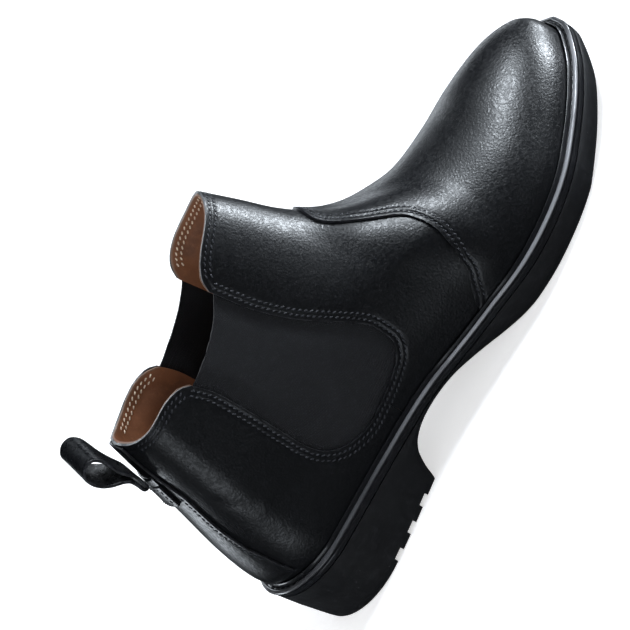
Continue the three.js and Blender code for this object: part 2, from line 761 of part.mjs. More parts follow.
// Storm welt: [offset from the upper, height over the feather line] round its section.
const weltSection = [
  [0.45, -4.5], [0.45, -0.5], [0.95, 1.6], [1.35, 1.95], [1.8, 1.4], [2.1, -0.1], [3.5, -0.35],
  [3.9, 0.15], [4.6, 0.45], [5.2, 0.2], [5.5, -0.5], [5.3, -1.5], [4.9, -2.1], [4.9, -4.5],
];
function weltRing(section, count) {
  const wide = weltWidth / 5.5;
  const thick = weltThickness / 4.6;
  const turns = Array.from({ length: count }, (_, i) => (2 * Math.PI * (i + 0.5)) / count);
  const rings = turns.map((turn) =>
    section.map(([offset, dz]) => {
      const out = offset > 1 ? offset * wide : offset;
      const room = Math.max(...[-0.06, 0, 0.06].map((step) => vampLift(turn + step, 0)));
      return rim(turn, out + room * (1 - out / weltWidth), seatZ(turn) + (dz < 0 ? dz * thick : dz));
    }),
  );
  return loft(rings, true);
}

// Rubber sole: heel block, arch and forefoot in one moulding.
// A ground value below zero is flat tread.
const tread = curveThrough([
  [heelBreast - 4, 0], [heelBreast, 0], [heelBreast + 4, 7.5], [heelBreast + 9, 14],
  [heelBreast + 18, 18], [heelBreast + 30, 18.5], [128, 16], [142, 11], [155, 5.4], [168, 1],
  [184, -0.6], [205, -1], [224, -0.6], [240, 0.8], [260, 3.2], [280, 6.4], [298.5, 10.5],
]);
const ground = (x) => tread(x) + spring(x);
const bottomInset = curveThrough([[6, 1.8], [60, 2], [90, 4], [150, 5], [230, 5.5], [298.5, 6]]);
const soleTop = -(weltThickness + 0.2);
const cavity = [22, 72, -22, 22, 8]; // in the heel: x, x, y, y, floor
const firstLug = 44;
const grooveStart = 178;
const groovePitch = 12;
function makeSole() {
  const breast = [-8, -4, 0, 4, 9, 14].map((x) => turnAt(heelBreast + x));
  const turns = [...range(0.05, Math.PI - 0.05, 38), ...breast].sort((a, b) => a - b);
  const sections = turns.map((turn) => {
    const x = featherX(turn);
    const low = x < heelBreast ? 0 : Math.max(ground(x), 0);
    const top = seatZ(turn) + soleTop;
    const reach = weltWidth - 0.5;
    const inset = bottomInset(x);
    const profile = [
      [reach, top],
      [reach - 0.15 * inset, top - (top - low) * 0.35],
      [reach - 0.8 * inset, low + 1.5],
      [reach - inset - 0.6, low],
    ];
    return [
      ...profile.map(([offset, z]) => rim(turn, offset, z)),
      ...profile.reverse().map(([offset, z]) => rim(-turn, offset, z)),
    ];
  });
  const body = loft(sections, false);
  const hollow = box(...cavity, 60);
  const notches = range(firstLug, firstLug + 2 * lugPitch, 2).map((x) =>
    box(x - lugWidth / 2, x + lugWidth / 2, -80, 80, -5, lugDepth),
  );
  const grooves = range(grooveStart, grooveStart + 5 * groovePitch, 5).map((x) =>
    box(x - 2, x + 2, -34, 30, -5, ground(x) + 2),
  );
  add("outsole", cut(body, [hollow, ...notches, ...grooves]), "rubber");
  const [back, front, outer, inner, floor] = cavity;
  const core = box(back + gap, front - gap, outer + gap, inner - gap, floor + gap, 25.5);
  add("heel_core", cut(core, nailPlaces.map((place) => nailSolid(gap, place))), "board");
}

function box(x0, x1, y0, y1, z0, z1) {
  const block = new THREE.BoxGeometry((x1 - x0) * along, (y1 - y0) * across, z1 - z0);
  return block.translate(((x0 + x1) / 2) * along, ((y0 + y1) / 2) * across, (z0 + z1) / 2);
}

// The pull loop: a sewn tab on the back strip and the free loop that swings on it.
const tabEdge = [[24.4, 98], [28.5, 110.5]];
const onStripOuter = stripLift + layerGap;
// Middle line of the loop's band as a ring of [x, z]: up the front, over the bend and down the back
// to a tight fold at the root. The band leans over to the outer side as it rises.
const loopLine = [
  [23.3, 115.4], [24.1, 115.75], [24.45, 116.6], [25.3, 119.5], [26.2, 123.5], [25.9, 128.5],
  [26.1, 134], [27.1, 139.2], [27.6, 143.6], [26.1, 147.6], [22.1, 149.1], [18.1, 147.3],
  [16.8, 142.9], [17.4, 138.5], [19.4, 133.6], [22, 128.9], [23.3, 124.6], [22.9, 120.5],
  [22.15, 116.6], [22.5, 115.75],
];
const loopLean = [0.14, 0.93, 0.34]; // the band's crossways direction above its lower third
const loopSteps = 64;
function loopBand() {
  const [rootX, rootZ] = loopLine[0];
  const [deep, tall] = [loopDepth / 11.3, loopHeight / 37.8];
  const rootRise = locate(tabEdge[1])[1];
  const shift = onSkin(0, rootRise, 0).z - backZ(rootRise);
  const line = loopLine.map(
    ([x, z]) => new THREE.Vector3(rootX + (x - rootX) * deep, 0, rootZ + (z - rootZ) * tall + shift),
  );
  const curve = new THREE.CatmullRomCurve3(line, true, "centripetal");
  const sections = range(0, 1 - 1 / loopSteps, loopSteps - 1).map((share) => {
    const middle = curve.getPointAt(share);
    const lean = smooth(middle.z - shift, rootZ + 3, rootZ + 24);
    const across = new THREE.Vector3(loopLean[0] * lean, loopLean[1], loopLean[2] * lean).normalize();
    const out = curve.getTangentAt(share).cross(across).normalize().multiplyScalar(webbing / 2);
    across.multiplyScalar(loopWidth / 2);
    const corners = [[-1, -1], [1, -1], [1, 1], [-1, 1]];
    return corners.map(([side, face]) =>
      middle.clone().addScaledVector(across, side).addScaledVector(out, face),
    );
  });
  return loft(sections, true);
}

function makePullLoop() {
  const side = located(tabEdge);
  const other = side.map(([turn, rise]) => [-turn, rise]);
  const low = spread([other[0], [0, side[0][1]], side[0]], 6);
  const high = spread([other[1], [0, side[1][1]], side[1]], 6);
  const tab = patch(low, high, spread(other, 3), spread(side, 3));
  add("loop_tab", panel([tab], webbing, () => onStripOuter + webbing), "leather");
  add("pull_loop", loopBand(), "leather");
}

makeUppers();
add("back_strip", panel([backStripGrid()], stripLeather, () => stripLift), "leather");
makeInside();
makeThreads();
makeInsole();
add("welt", weltRing(weltSection, 64), "rubber");
add("welt_thread", weltRing([[2.4, 0], [3.2, 0], [3.2, 0.35], [2.4, 0.35]], 64), "thread");
makeSole();
makePullLoop();

// The part's origin is the middle of its footprint, on the ground.
const bounds = new THREE.Box3().setFromObject(boot);
const middle = bounds.getCenter(new THREE.Vector3());
boot.position.set(-middle.x, -middle.y, -bounds.min.z);

const part = new THREE.Group();
part.add(boot);

export default part;
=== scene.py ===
from math import cos, pi, radians, sin

import bmesh
import bpy
import numpy as np
from bpy.props import FloatProperty, FloatVectorProperty, PointerProperty
from mathutils import Matrix, Vector


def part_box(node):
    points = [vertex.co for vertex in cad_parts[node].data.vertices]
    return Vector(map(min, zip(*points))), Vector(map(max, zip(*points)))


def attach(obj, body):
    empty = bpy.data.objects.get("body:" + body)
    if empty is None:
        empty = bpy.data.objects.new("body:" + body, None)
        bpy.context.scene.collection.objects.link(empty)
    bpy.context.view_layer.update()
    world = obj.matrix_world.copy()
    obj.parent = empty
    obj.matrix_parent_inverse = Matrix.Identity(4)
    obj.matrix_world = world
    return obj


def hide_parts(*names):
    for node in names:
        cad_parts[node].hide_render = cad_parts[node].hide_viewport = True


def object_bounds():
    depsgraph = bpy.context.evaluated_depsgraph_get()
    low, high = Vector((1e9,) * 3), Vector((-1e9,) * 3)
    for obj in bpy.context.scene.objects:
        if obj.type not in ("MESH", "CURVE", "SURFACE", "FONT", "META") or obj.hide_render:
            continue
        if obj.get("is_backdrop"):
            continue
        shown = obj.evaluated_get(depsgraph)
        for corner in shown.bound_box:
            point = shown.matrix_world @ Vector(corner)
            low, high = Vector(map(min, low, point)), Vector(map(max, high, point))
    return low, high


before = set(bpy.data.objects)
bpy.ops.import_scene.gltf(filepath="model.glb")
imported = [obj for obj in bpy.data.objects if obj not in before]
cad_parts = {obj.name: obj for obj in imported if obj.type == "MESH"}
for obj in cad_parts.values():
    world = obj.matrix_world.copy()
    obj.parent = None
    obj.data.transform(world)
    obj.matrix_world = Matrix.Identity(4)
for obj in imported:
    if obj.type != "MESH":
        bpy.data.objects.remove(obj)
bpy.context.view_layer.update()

bl_info = {
    "name": "Chelsea Boot",
    "version": (1, 0, 0),
    "blender": (4, 5, 0),
    "location": "View3D > Sidebar > Boot",
    "description": "Builds a boot around its fixed frame: leather, elastic, stitching, welt and sole",
    "category": "Object",
}

NAIL_X = 26  # the first heel nail's place on the last, in millimetres
nail_low, nail_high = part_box("heel_nail_1")
ORIGIN = np.array([(nail_low.x + nail_high.x) * 500 - NAIL_X, (nail_low.y + nail_high.y) * 500, 0])

# Layers, measured from the last's skin, in millimetres; the frame's own layers lie at the same depths.
MIDDLE = -1.6  # outer face of elastic, puff and counter
DEEP = -2.8  # outer face of the linings
MEETING = -1.36  # outer face of the linings along the top line
TUCK = 0.08  # between pressed layers
UPPER = 1.3  # thickness of the upper leather
STRIP_TOP = 1.2 + TUCK  # outer face of the back strip
PLY = 0.85  # thickness of the ply that joins the loop to its tab
TAB_PLIES = 2 * PLY
SEAM_ROWS = (2.0, 4.4)  # stitch rows, from the edge
STRIP_ROW = 1.7
HANG = 0.044  # the upper's drop below the feather line, in the rise's unit


# ------------------------------------------------------------------------------ curves

def neighbours(count):
    """The ids after and before each id of a row, kept inside the row."""
    ids = np.arange(count)
    return np.minimum(ids + 1, count - 1), np.maximum(ids - 1, 0)


def curve(knots):
    """A smooth curve through (position, value) knots, straight beyond its ends."""
    xs, ys = np.array(knots, float).T
    high, low = neighbours(len(xs))
    slope = (ys[high] - ys[low]) / (xs[high] - xs[low])

    def at(position):
        p = np.asarray(position, float)
        i = np.clip(np.searchsorted(xs, p, side="right") - 1, 0, len(xs) - 2)
        span = xs[i + 1] - xs[i]
        q = (p - xs[i]) / span
        inside = hermite(q, span, ys[i], ys[i + 1], slope[i], slope[i + 1])
        before = ys[0] + (p - xs[0]) * slope[0]
        after = ys[-1] + (p - xs[-1]) * slope[-1]
        return np.where(p <= xs[0], before, np.where(p >= xs[-1], after, inside))

    return at


def hermite(q, span, low, high, slope_low, slope_high):
    q2, q3 = q * q, q * q * q
    return (
        (2 * q3 - 3 * q2 + 1) * low
        + (q3 - 2 * q2 + q) * span * slope_low
        + (3 * q2 - 2 * q3) * high
        + (q3 - q2) * span * slope_high
    )


def sheet_through(levels):
    """A smooth sheet through level curves, (level, knots) in rising order."""
    heights = np.array([level for level, _ in levels], float)
    curves = [curve(knots) for _, knots in levels]

    def at(x, z):
        x, z = np.broadcast_arrays(np.asarray(x, float), np.clip(z, heights[0], heights[-1]))
        values = np.stack([c(x) for c in curves])
        after, before = neighbours(len(heights))
        gaps = (heights[after] - heights[before]).reshape(-1, *[1] * x.ndim)
        slopes = (values[after] - values[before]) / gaps
        i = np.clip(np.searchsorted(heights, z, side="right") - 1, 0, len(heights) - 2)
        ends = [np.take_along_axis(table, k[None], 0)[0] for table in (values, slopes) for k in (i, i + 1)]
        span = heights[i + 1] - heights[i]
        return hermite((z - heights[i]) / span, span, *ends)

    return at


CREST = [
    (0, 298.5, 27), (0.06, 297.8, 36), (0.12, 292, 45), (0.2, 276, 53.3), (0.3, 251, 58.8), (0.4, 228, 61.3),
    (0.5, 205, 67), (0.6, 184, 79), (0.7, 170.5, 94), (0.8, 162.5, 112), (0.9, 157.5, 132), (1, 152.5, 151),
]
BACK = [
    (0, 6, 36), (0.06, 5.4, 41), (0.12, 5.5, 46), (0.2, 7, 54), (0.3, 10, 65), (0.4, 13.7, 76),
    (0.5, 17.8, 87), (0.6, 21.2, 96.5), (0.7, 24.2, 105.5), (0.8, 27.5, 115), (0.9, 31.2, 126), (1, 35, 137),
]
HEEL_X, TOE_X = 6, 298.5  # the ends of the feather line
FEATHER_RUN = TOE_X - HEEL_X
HEEL_Z, TOE_Z = 36, 27
crest_x, crest_z = (curve([(k[0], k[c]) for k in CREST]) for c in (1, 2))
back_x, back_z = (curve([(k[0], k[c]) for k in BACK]) for c in (1, 2))
feather_z = curve([(6, 36), (60, 31.5), (110, 27), (150, 22), (190, 19), (230, 19), (265, 22), (298.5, 27)])
dip = curve([
    (0, 1), (0.12, 1.25), (0.2, 1.5), (0.3, 1.7), (0.4, 1.6), (0.5, 1.2),
    (0.6, 0.7), (0.7, 0.3), (0.8, 0.1), (0.9, 0), (1, 0),
])
FOREFOOT = {
    "outer": curve([
        (150, 43), (160, 46.8), (180, 53.9), (203, 57), (227, 55), (250, 46.6), (265, 39.5), (280, 30),
        (290, 20), (296, 11), (298.5, 0),
    ]),
    "inner": curve([
        (150, 36), (160, 38), (180, 44), (205, 48.6), (227, 48.5), (250, 43.5), (265, 38.5), (280, 30.5),
        (290, 21.5), (296, 12), (298.5, 0),
    ]),
}
SHAFT = [
    (85, [(15, 29), (40, 31), (80, 32.5), (120, 33.5), (160, 32), (200, 31)]),
    (110, [(20, 25.5), (40, 27.5), (80, 29), (120, 28.5), (160, 27)]),
    (135, [(20, 23.5), (40, 25), (80, 26), (120, 24.5), (160, 22)]),
    (155, [(20, 23), (40, 24), (80, 24.5), (120, 22.5), (160, 20)]),
]
REARFOOT = {
    "outer": sheet_through([
        (20, [(5, 33), (40, 34.5), (80, 34), (120, 36), (160, 46.5), (200, 56)]),
        (40, [(5, 33.5), (40, 35), (80, 35), (120, 37), (160, 45), (200, 53.5)]),
        (60, [(5, 31), (40, 33), (80, 34), (120, 35.5), (160, 39), (200, 44)]),
        *SHAFT,
    ]),
    "inner": sheet_through([
        (20, [(5, 31), (40, 32), (80, 30), (120, 29.5), (160, 36.5), (200, 48.5)]),
        (40, [(5, 32), (40, 33.5), (80, 33), (120, 34), (160, 38.5), (200, 47)]),
        (60, [(5, 31), (40, 32.5), (80, 33.5), (120, 34.5), (160, 36.5), (200, 41)]),
        *SHAFT,
    ]),
}
back_round = curve([(36, 33), (60, 31), (85, 27), (110, 24), (137, 22)])
front_round = curve([(60, 60), (85, 50), (110, 42), (135, 37), (155, 35)])


def inverse(line, low, high, count=6000):
    """The share at which a rising or falling curve reaches a value."""
    shares = np.linspace(low, high, count)
    values = line(shares)
    if values[-1] < values[0]:
        shares, values = shares[::-1], values[::-1]
    values = np.maximum.accumulate(values)
    return lambda value: np.interp(value, values, shares)


crest_share_x = inverse(crest_x, -0.02, 1.9)
crest_share_z = inverse(crest_z, -0.02, 1.9)
back_share_z = inverse(back_z, -0.3, 1.9)


def ease(x, low, high):
    q = np.clip((x - low) / (high - low), 0, 1)
    return q * q * (3 - 2 * q)


def arc(share):
    return np.sqrt(1 - (1 - np.clip(share, 0, 1)) ** 2)


def half_width(x, z, side):
    crest = crest_z(crest_share_x(x))
    feather = feather_z(np.clip(x, HEEL_X, TOE_X))
    depth = np.clip((crest - z) / np.maximum(crest - feather, 0.5), 0, 1)
    dome = np.sqrt(1 - (1 - depth) ** 1.7) * (1 + 0.03 * np.sin(pi * depth))
    front = np.maximum(FOREFOOT[side](x), 0) * dome
    from_back = x - back_x(back_share_z(z))
    from_front = crest_x(crest_share_z(z)) - x
    corners = arc(from_back / back_round(z)) * arc(from_front / front_round(np.maximum(z, 60)))
    rear = REARFOOT[side](x, z) * corners
    q = ease(x, 155, 195)
    return rear + (front - rear) * q


def side_view(share, rise):
    x = back_x(rise) + share * (crest_x(rise) - back_x(rise))
    level = back_z(rise) + share * (crest_z(rise) - back_z(rise))
    sag = feather_z(HEEL_X + share * FEATHER_RUN) - HEEL_Z + share * (HEEL_Z - TOE_Z)
    return x, level + dip(rise) * sag


def swing(x):
    """How far the forefoot's middle line bends to the inner side."""
    return 7 * np.maximum((x - 150) / 148.5, 0) ** 2


def skin(turn, rise):
    """Places on the last: the turn runs round it from the heel, the rise from feather line to crest."""
    turn, rise = np.broadcast_arrays(np.asarray(turn, float), np.asarray(rise, float))
    x, z = side_view((1 - np.cos(turn)) / 2, np.maximum(rise, 0))
    outer = np.sin(turn) >= 0
    y = np.where(outer, -half_width(x, z, "outer"), half_width(x, z, "inner"))
    return np.stack([x, y + swing(x), z + np.minimum(rise, 0) * 100], -1)


def unit(vectors):
    return vectors / np.maximum(np.linalg.norm(vectors, axis=-1, keepdims=True), 1e-12)


def skin_normal(turn, rise, step=1e-3):
    by_turn = skin(turn + step, rise) - skin(turn - step, rise)
    by_rise = skin(turn, rise + step) - skin(turn, rise - step)
    return unit(np.cross(by_turn, by_rise))


def place(points):
    """Millimetres on the last to metres in the frame."""
    return (np.asarray(points, float) + ORIGIN) / 1000


def locate(points):
    """The (turn, rise) on the outer side of side-view points."""
    x, z = np.array(points, float).T
    share, rise, step = np.clip(x / 300, 0, 1), np.clip((z - 30) / 110, 0, 1), 1e-4
    for _ in range(60):
        here = side_view(share, rise)
        by_share = [(a - b) / step for a, b in zip(side_view(share + step, rise), here)]
        by_rise = [(a - b) / step for a, b in zip(side_view(share, rise + step), here)]
        det = by_share[0] * by_rise[1] - by_share[1] * by_rise[0]
        miss = x - here[0], z - here[1]
        along = (miss[0] * by_rise[1] - miss[1] * by_rise[0]) / det
        up = (by_share[0] * miss[1] - by_share[1] * miss[0]) / det
        share = np.clip(share + np.clip(along, -0.1, 0.1), 0, 1)
        rise = np.clip(rise + np.clip(up, -0.1, 0.1), 0, 1.05)
    return np.stack([np.arccos(1 - 2 * share), rise], -1)


def mirror(points):
    return np.stack([2 * pi - points[..., 0], points[..., 1]], -1)


def smooth_path(knots, count=40):
    """Points along a centripetal curve through the knots."""
    k = np.array(knots, float)
    if len(k) == 2:
        return k[0] + np.linspace(0, 1, count)[:, None] * (k[1] - k[0])
    k = np.vstack([2 * k[0] - k[1], k, 2 * k[-1] - k[-2]])
    gaps = np.maximum(np.linalg.norm(np.diff(k, axis=0), axis=1), 1e-9) ** 0.5
    q = np.linspace(0, 1, count, endpoint=False)[:, None]
    runs = []
    for i in range(1, len(k) - 2):
        d0, d1, d2 = gaps[i - 1], gaps[i], gaps[i + 1]
        a, b = k[i], k[i + 1]
        start = ((a - k[i - 1]) / d0 - (b - k[i - 1]) / (d0 + d1) + (b - a) / d1) * d1
        stop = ((b - a) / d1 - (k[i + 2] - a) / (d1 + d2) + (k[i + 2] - b) / d2) * d1
        runs.append(hermite(q, 1, a, b, start, stop))
    return np.vstack(runs + [k[-2:-1]])


def ring_path(knots, count=16):
    """Points along a closed centripetal curve through the knots."""
    wrap = 3
    path = smooth_path([*knots[-wrap:], *knots, *knots[:wrap]], count)
    return path[wrap * count : (wrap + len(knots)) * count]


def run_along(path):
    """The length of a path up to each of its points."""
    return np.concatenate([[0], np.cumsum(np.linalg.norm(np.diff(path, axis=0), axis=1))])


THIRD = np.array([1 / 3, 1])  # turns count a third of rises along a line


def spread(knots, shares):
    """Places at the given shares of the length of a line of (turn, rise) knots."""
    path = smooth_path(np.array(knots, float) * THIRD)
    run = run_along(path)
    at = np.asarray(shares) * run[-1]
    return np.stack([np.interp(at, run, path[:, c]) for c in (0, 1)], -1) / THIRD


def chain(first, second, shares, corner):
    """Two lines one after the other, with their corner at a share."""
    shares = np.asarray(shares)
    low, high = shares[shares <= corner + 1e-9], shares[shares > corner + 1e-9]
    return np.vstack([spread(first, low / corner), spread(second, (high - corner) / (1 - corner))])


def graded(length, start=False, stop=False, step=1.8, fine=0.5, depth=7.0, keep=()):
    """Shares from 0 to 1 with fine steps beside the chosen ends, and the kept shares among them."""
    at = np.linspace(0, length, max(int(length / step), 2) + 1)
    edge = np.arange(0, depth, fine)
    if start:
        at = np.concatenate([edge, at[at > depth]])
    if stop:
        at = np.concatenate([at[at < length - depth], length - edge[::-1]])
    at = at / length
    for share in keep:
        at = np.append(at[np.abs(at - share) > 0.3 * step / length], share)
    return np.sort(at)


def coons(bottom, top, left, right, u, v):
    """A grid of (turn, rise) between four edges."""
    u, v = np.asarray(u)[None, :, None], np.asarray(v)[:, None, None]
    edges = (1 - v) * bottom[None] + v * top[None] + (1 - u) * left[:, None] + u * right[:, None]
    low = edges - (1 - u) * (1 - v) * bottom[0] - u * (1 - v) * bottom[-1]
    return low - (1 - u) * v * top[0] - u * v * top[-1]


def flip(grid):
    return mirror(grid)[:, ::-1]


def inner_half(grid):
    return flip(grid) - np.array([2 * pi, 0])


def shifted(points, distance):
    """A (turn, rise) line moved over the skin, to the right of its direction seen from outside."""
    points = np.asarray(points, float)
    after, before = neighbours(len(points))
    turn, rise = points.T
    along = skin(*points[after].T) - skin(*points[before].T)
    aside = distance * unit(np.cross(along, skin_normal(turn, rise)))
    step = 1e-3
    by_turn = (skin(turn + step, rise) - skin(turn - step, rise)) / (2 * step)
    by_rise = (skin(turn, rise + step) - skin(turn, rise)) / step
    pairs = (by_turn, by_rise), (by_turn, by_turn), (by_rise, by_rise)
    cross, tt, rr = ((a * b).sum(-1) for a, b in pairs)
    det = tt * rr - cross**2
    p, q = (aside * by_turn).sum(-1), (aside * by_rise).sum(-1)
    return points + np.stack([(p * rr - q * cross) / det, (q * tt - p * cross) / det], -1)


def over_crest(line):
    side = locate(line)
    side[-1, 0] = pi
    return np.vstack([side, mirror(side[:-1])[::-1]])


def distance_to(line, points):
    """Distance from places to a polyline of places, in millimetres."""
    flat = points.reshape(-1, 3)
    best = np.full(len(flat), np.inf)
    for a, b in zip(line[:-1], line[1:]):
        run = b - a
        share = np.clip(((flat - a) @ run) / max(run @ run, 1e-9), 0, 1)
        best = np.minimum(best, np.linalg.norm(flat - a - share[:, None] * run, axis=1))
    return best.reshape(points.shape[:-1])


def edge_places(line, count=70):
    return skin(*spread(line, np.linspace(0, 1, count)).T)


# ------------------------------------------------------------------------------ seams
SIDE_SEAM = 102
SEAM_GAP = 0.08  # between the two edges that meet at the side seam
GORE_FOOT = (SIDE_SEAM, 41.3)
GORE_FRONT = [
    GORE_FOOT, (112, 42), (121, 43.7), (127, 47), (131, 55),
    (131, 65.5), (126, 78.5), (119, 96), (114.8, 116), (113.8, 134),
]
GORE_REAR = [
    GORE_FOOT, (91.5, 41.5), (82, 45), (76, 49.5), (72, 56),
    (70.8, 65), (72, 77), (74, 94), (75.2, 113), (73.5, 123.5),
]
GORE_HEAD = [(82, 123), (94, 124.7), (104, 127.2)]
FRONT_TOP = [
    (113.8, 134), (117, 139), (122, 142.3), (129, 144.7),
    (136, 146), (143, 147.2), (149, 149), (152.5, 151),
]
REAR_TOP = [(73.5, 123.5), (70, 127.5), (62, 130.4), (55, 130.8), (46, 131), (39, 132.5), (35.2, 135)]
VAMP_SEAM = [
    (156, 22.8), (163, 27.4), (169, 34), (175, 43), (179.7, 50), (182.8, 57), (183.6, 64),
    (182, 69.5), (177, 76), (170.4, 85), (165.6, 93), (163.6, 100), (163.8, 105),
]
STRIP_EDGE = [
    (18.2, 40.5), (18, 55), (18, 63), (19.1, 71.3), (21.2, 80.8),
    (24.3, 90.6), (27.4, 100.5), (29, 109), (31, 118.5), (35.4, 133.5),
]
TAB_EDGE = [(24.4, 98), (28.5, 110.5)]
LOOP_LINE = [
    (23.3, 115.4), (24.1, 115.75), (24.45, 116.6), (25.3, 119.5), (26.2, 123.5), (25.9, 128.5), (26.1, 134),
    (27.1, 139.2), (27.6, 143.6), (26.1, 147.6), (22.1, 149.1), (18.1, 147.3), (16.8, 142.9), (17.4, 138.5),
    (19.4, 133.6), (22, 128.9), (23.3, 124.6), (22.9, 120.5), (22.15, 116.6), (22.5, 115.75),
]
LOOP_LEAN = (0.14, 0.93, 0.34)  # the band's crossways direction above its lower third
LEAN_FROM_TO = (118.4, 139.4)  # heights between which the band leans over
LOOP_WIDTH = 23
LAP = 8  # quarter leather under the vamp
GORE_LAP = 5  # elastic under the leather
VAMP_TURN = 3  # the seam knot where the vamp's short lower edge ends

SEAM = over_crest(VAMP_SEAM)
CREST_KNOT = len(VAMP_SEAM) - 1
FRONT_EDGE = over_crest(FRONT_TOP)
REAR_EDGE = locate(REAR_TOP)
GORE_ROUND = np.vstack([locate(GORE_REAR)[::-1], locate(GORE_FRONT)[1:]])
GORE_CUT = shifted(GORE_ROUND, GORE_LAP)
STRIP_SIDE = locate(STRIP_EDGE)
seam_places = edge_places(SEAM, 110)
front_places = edge_places(FRONT_EDGE, 60)
rear_places = edge_places(REAR_EDGE, 30)
gore_places = edge_places(GORE_ROUND, 90)
gore_cut_places = edge_places(GORE_CUT)
strip_places = edge_places(STRIP_SIDE)


def outer_side(points):
    """Places folded onto the outer side of the last, about its middle line."""
    middle = swing(points[..., 0])
    folded = points.copy()
    folded[..., 1] = middle - np.abs(points[..., 1] - middle)
    return folded


def to_top_line(points):
    """Distance from places to the top line, in millimetres."""
    return np.minimum(distance_to(front_places, points), distance_to(rear_places, outer_side(points)))


def hung(point):
    return np.array([point[0], -HANG])


def at_feather(x):
    return np.array([locate([(x, float(feather_z(x)))])[0, 0], 0])


# ------------------------------------------------------------------------------ reliefs
def ridge(distance, centre, width):
    return np.exp(-(((distance - centre) / width) ** 2))


def rows_relief(distance, rows=SEAM_ROWS, depth=0.28, width=0.7):
    """Leather pulled down by its stitch rows and puffed between them, by distance from the edge."""
    pulled = -depth * sum(ridge(distance, row, width) for row in rows)
    return pulled + 0.1 * ridge(distance, 0.5 * (rows[0] + rows[-1]), width)


def flat_lift(height):
    return lambda turn, rise: np.full(np.shape(turn), height)


def crease(points, line, depth, width):
    """A soft fold along a line of side-view points on the outer side, with a ridge beside it."""
    away = distance_to(edge_places(locate(line), 24), points)
    return -depth * ridge(away, 0, width) + 0.45 * depth * ridge(away, 2.2 * width, width)


def drift(points, size, amount, seed):
    """Slow unevenness of stretched leather: a few crossed waves."""
    phases = np.random.default_rng(seed).uniform(0, 2 * pi, (6, 4))
    total = 0
    for a, b, c, d in phases:
        direction = np.array([cos(a) * cos(b), sin(a) * cos(b), sin(b)])
        total = total + np.sin(points @ direction / size * (1 + 0.5 * sin(d)) + c)
    return amount * total / 3


def vamp_lift(turn, rise):
    points = skin(turn, rise)
    reach = distance_to(seam_places, points)
    lap = (UPPER + TUCK) * (1 - ease(reach, LAP + 1, LAP + 16))
    return lap + rows_relief(reach) + drift(points, 19, 0.05, 3)


# line in side view, depth and width of each soft fold behind the gore and under it
ANKLE_FOLDS = [
    ([(40, 97), (38.3, 91)], 0.12, 1.6),
    ([(31.5, 90.5), (32, 84), (35, 79), (37, 72)], 0.3, 1.7),
    ([(46, 64), (56, 59), (66, 54)], 0.1, 3.2),
]


def quarter_lift(turn, rise):
    """Relief of the quarters: stitch rows beside the gore and the top line, and ankle folds."""
    points = skin(turn, rise)
    reach = np.minimum(distance_to(gore_places, outer_side(points)), to_top_line(points))
    relief = rows_relief(reach) + drift(points, 15, 0.07, 5)
    for fold in ANKLE_FOLDS:
        relief = relief + crease(points, *fold)
    return relief * ease(distance_to(seam_places, points), 0.5, 4) - 0.05


GORE_SWELL = UPPER - 0.15  # the elastic bulges almost to the leather's face
RIB_PITCH = 1.15


def gore_lift(turn, rise):
    points = skin(turn, rise)
    reach = distance_to(gore_cut_places, outer_side(points))
    swell = GORE_SWELL * ease(reach, GORE_LAP + 1, GORE_LAP + 10)
    ribs = 0.08 * np.sin(2 * pi * points[..., 2] / RIB_PITCH)
    return MIDDLE + swell + ribs * ease(reach, 0.5, 2)


def lining_lift(turn, rise):
    """The lining lies deep, and comes up to meet the leather along the top line."""
    points = skin(turn, rise)
    gore = distance_to(gore_places, outer_side(points))
    meet = (1 - ease(to_top_line(points), 5, 14)) * ease(gore, 5.5, 11)
    return DEEP + (MEETING - DEEP) * meet + drift(points, 12, 0.06, 9) * (1 - meet)


def strip_lift(turn, rise):
    points = skin(turn, rise)
    edge = distance_to(strip_places, outer_side(points))
    return STRIP_TOP + rows_relief(edge, (STRIP_ROW,), 0.16) + 0.1 * ridge(edge, 0, 0.9)


# ------------------------------------------------------------------------------ grids
def vamp_grid():
    u, v = graded(210, True, True), graded(190, stop=True)
    start = hung(SEAM[0])
    left = spread([start, *SEAM[1 : VAMP_TURN + 1]], v)
    top = spread(SEAM[VAMP_TURN : len(SEAM) - VAMP_TURN], u)
    bottom = spread([start, (pi, -HANG), mirror(start)], u)
    return coons(bottom, top, left, mirror(left), u, v)


def front_grids(reach, step=1.8):
    """Under the gore's foot, the flank and the shaft up to the crest, on both sides."""
    u = graded(56, start=True, step=step)
    v_low, v_high = graded(26, stop=True, step=step), graded(100, stop=True, step=step)
    u_foot = graded(20, step=step)
    lap = shifted(SEAM, reach)[: CREST_KNOT + 1]
    lap[CREST_KNOT, 0] = pi
    turn = VAMP_TURN + 2
    gore = locate(GORE_FRONT)
    corner = gore[2]
    foot_front = hung(at_feather(122))
    seam_base = hung(at_feather(SIDE_SEAM + SEAM_GAP / 2))
    seam_top = locate([(GORE_FOOT[0] + SEAM_GAP / 2, GORE_FOOT[1])])[0]
    lap_base = hung(lap[0])
    inside = spread([foot_front, corner], v_low)
    level = spread([corner, locate([(150, 46)])[0], lap[turn]], u)
    foot_top = spread([seam_top, gore[1], corner], u_foot)
    side = spread([seam_base, seam_top], v_low)
    under = coons(spread([seam_base, foot_front], u_foot), foot_top, side, inside, u_foot, v_low)
    lap_foot = spread([lap_base, *lap[1 : turn + 1]], v_low)
    flank = coons(spread([foot_front, lap_base], u), level, inside, lap_foot, u, v_low)
    top = locate(FRONT_TOP)
    top[-1, 0] = pi
    right = chain(lap[turn:], [lap[CREST_KNOT], top[-1]], v_high, 0.6)
    shaft = coons(level, spread(top, u), spread(gore[2:], v_high), right, u, v_high)
    half = [under, flank, shaft]
    return half + [flip(grid) for grid in half]


REAR_CORNER = 5 / 13


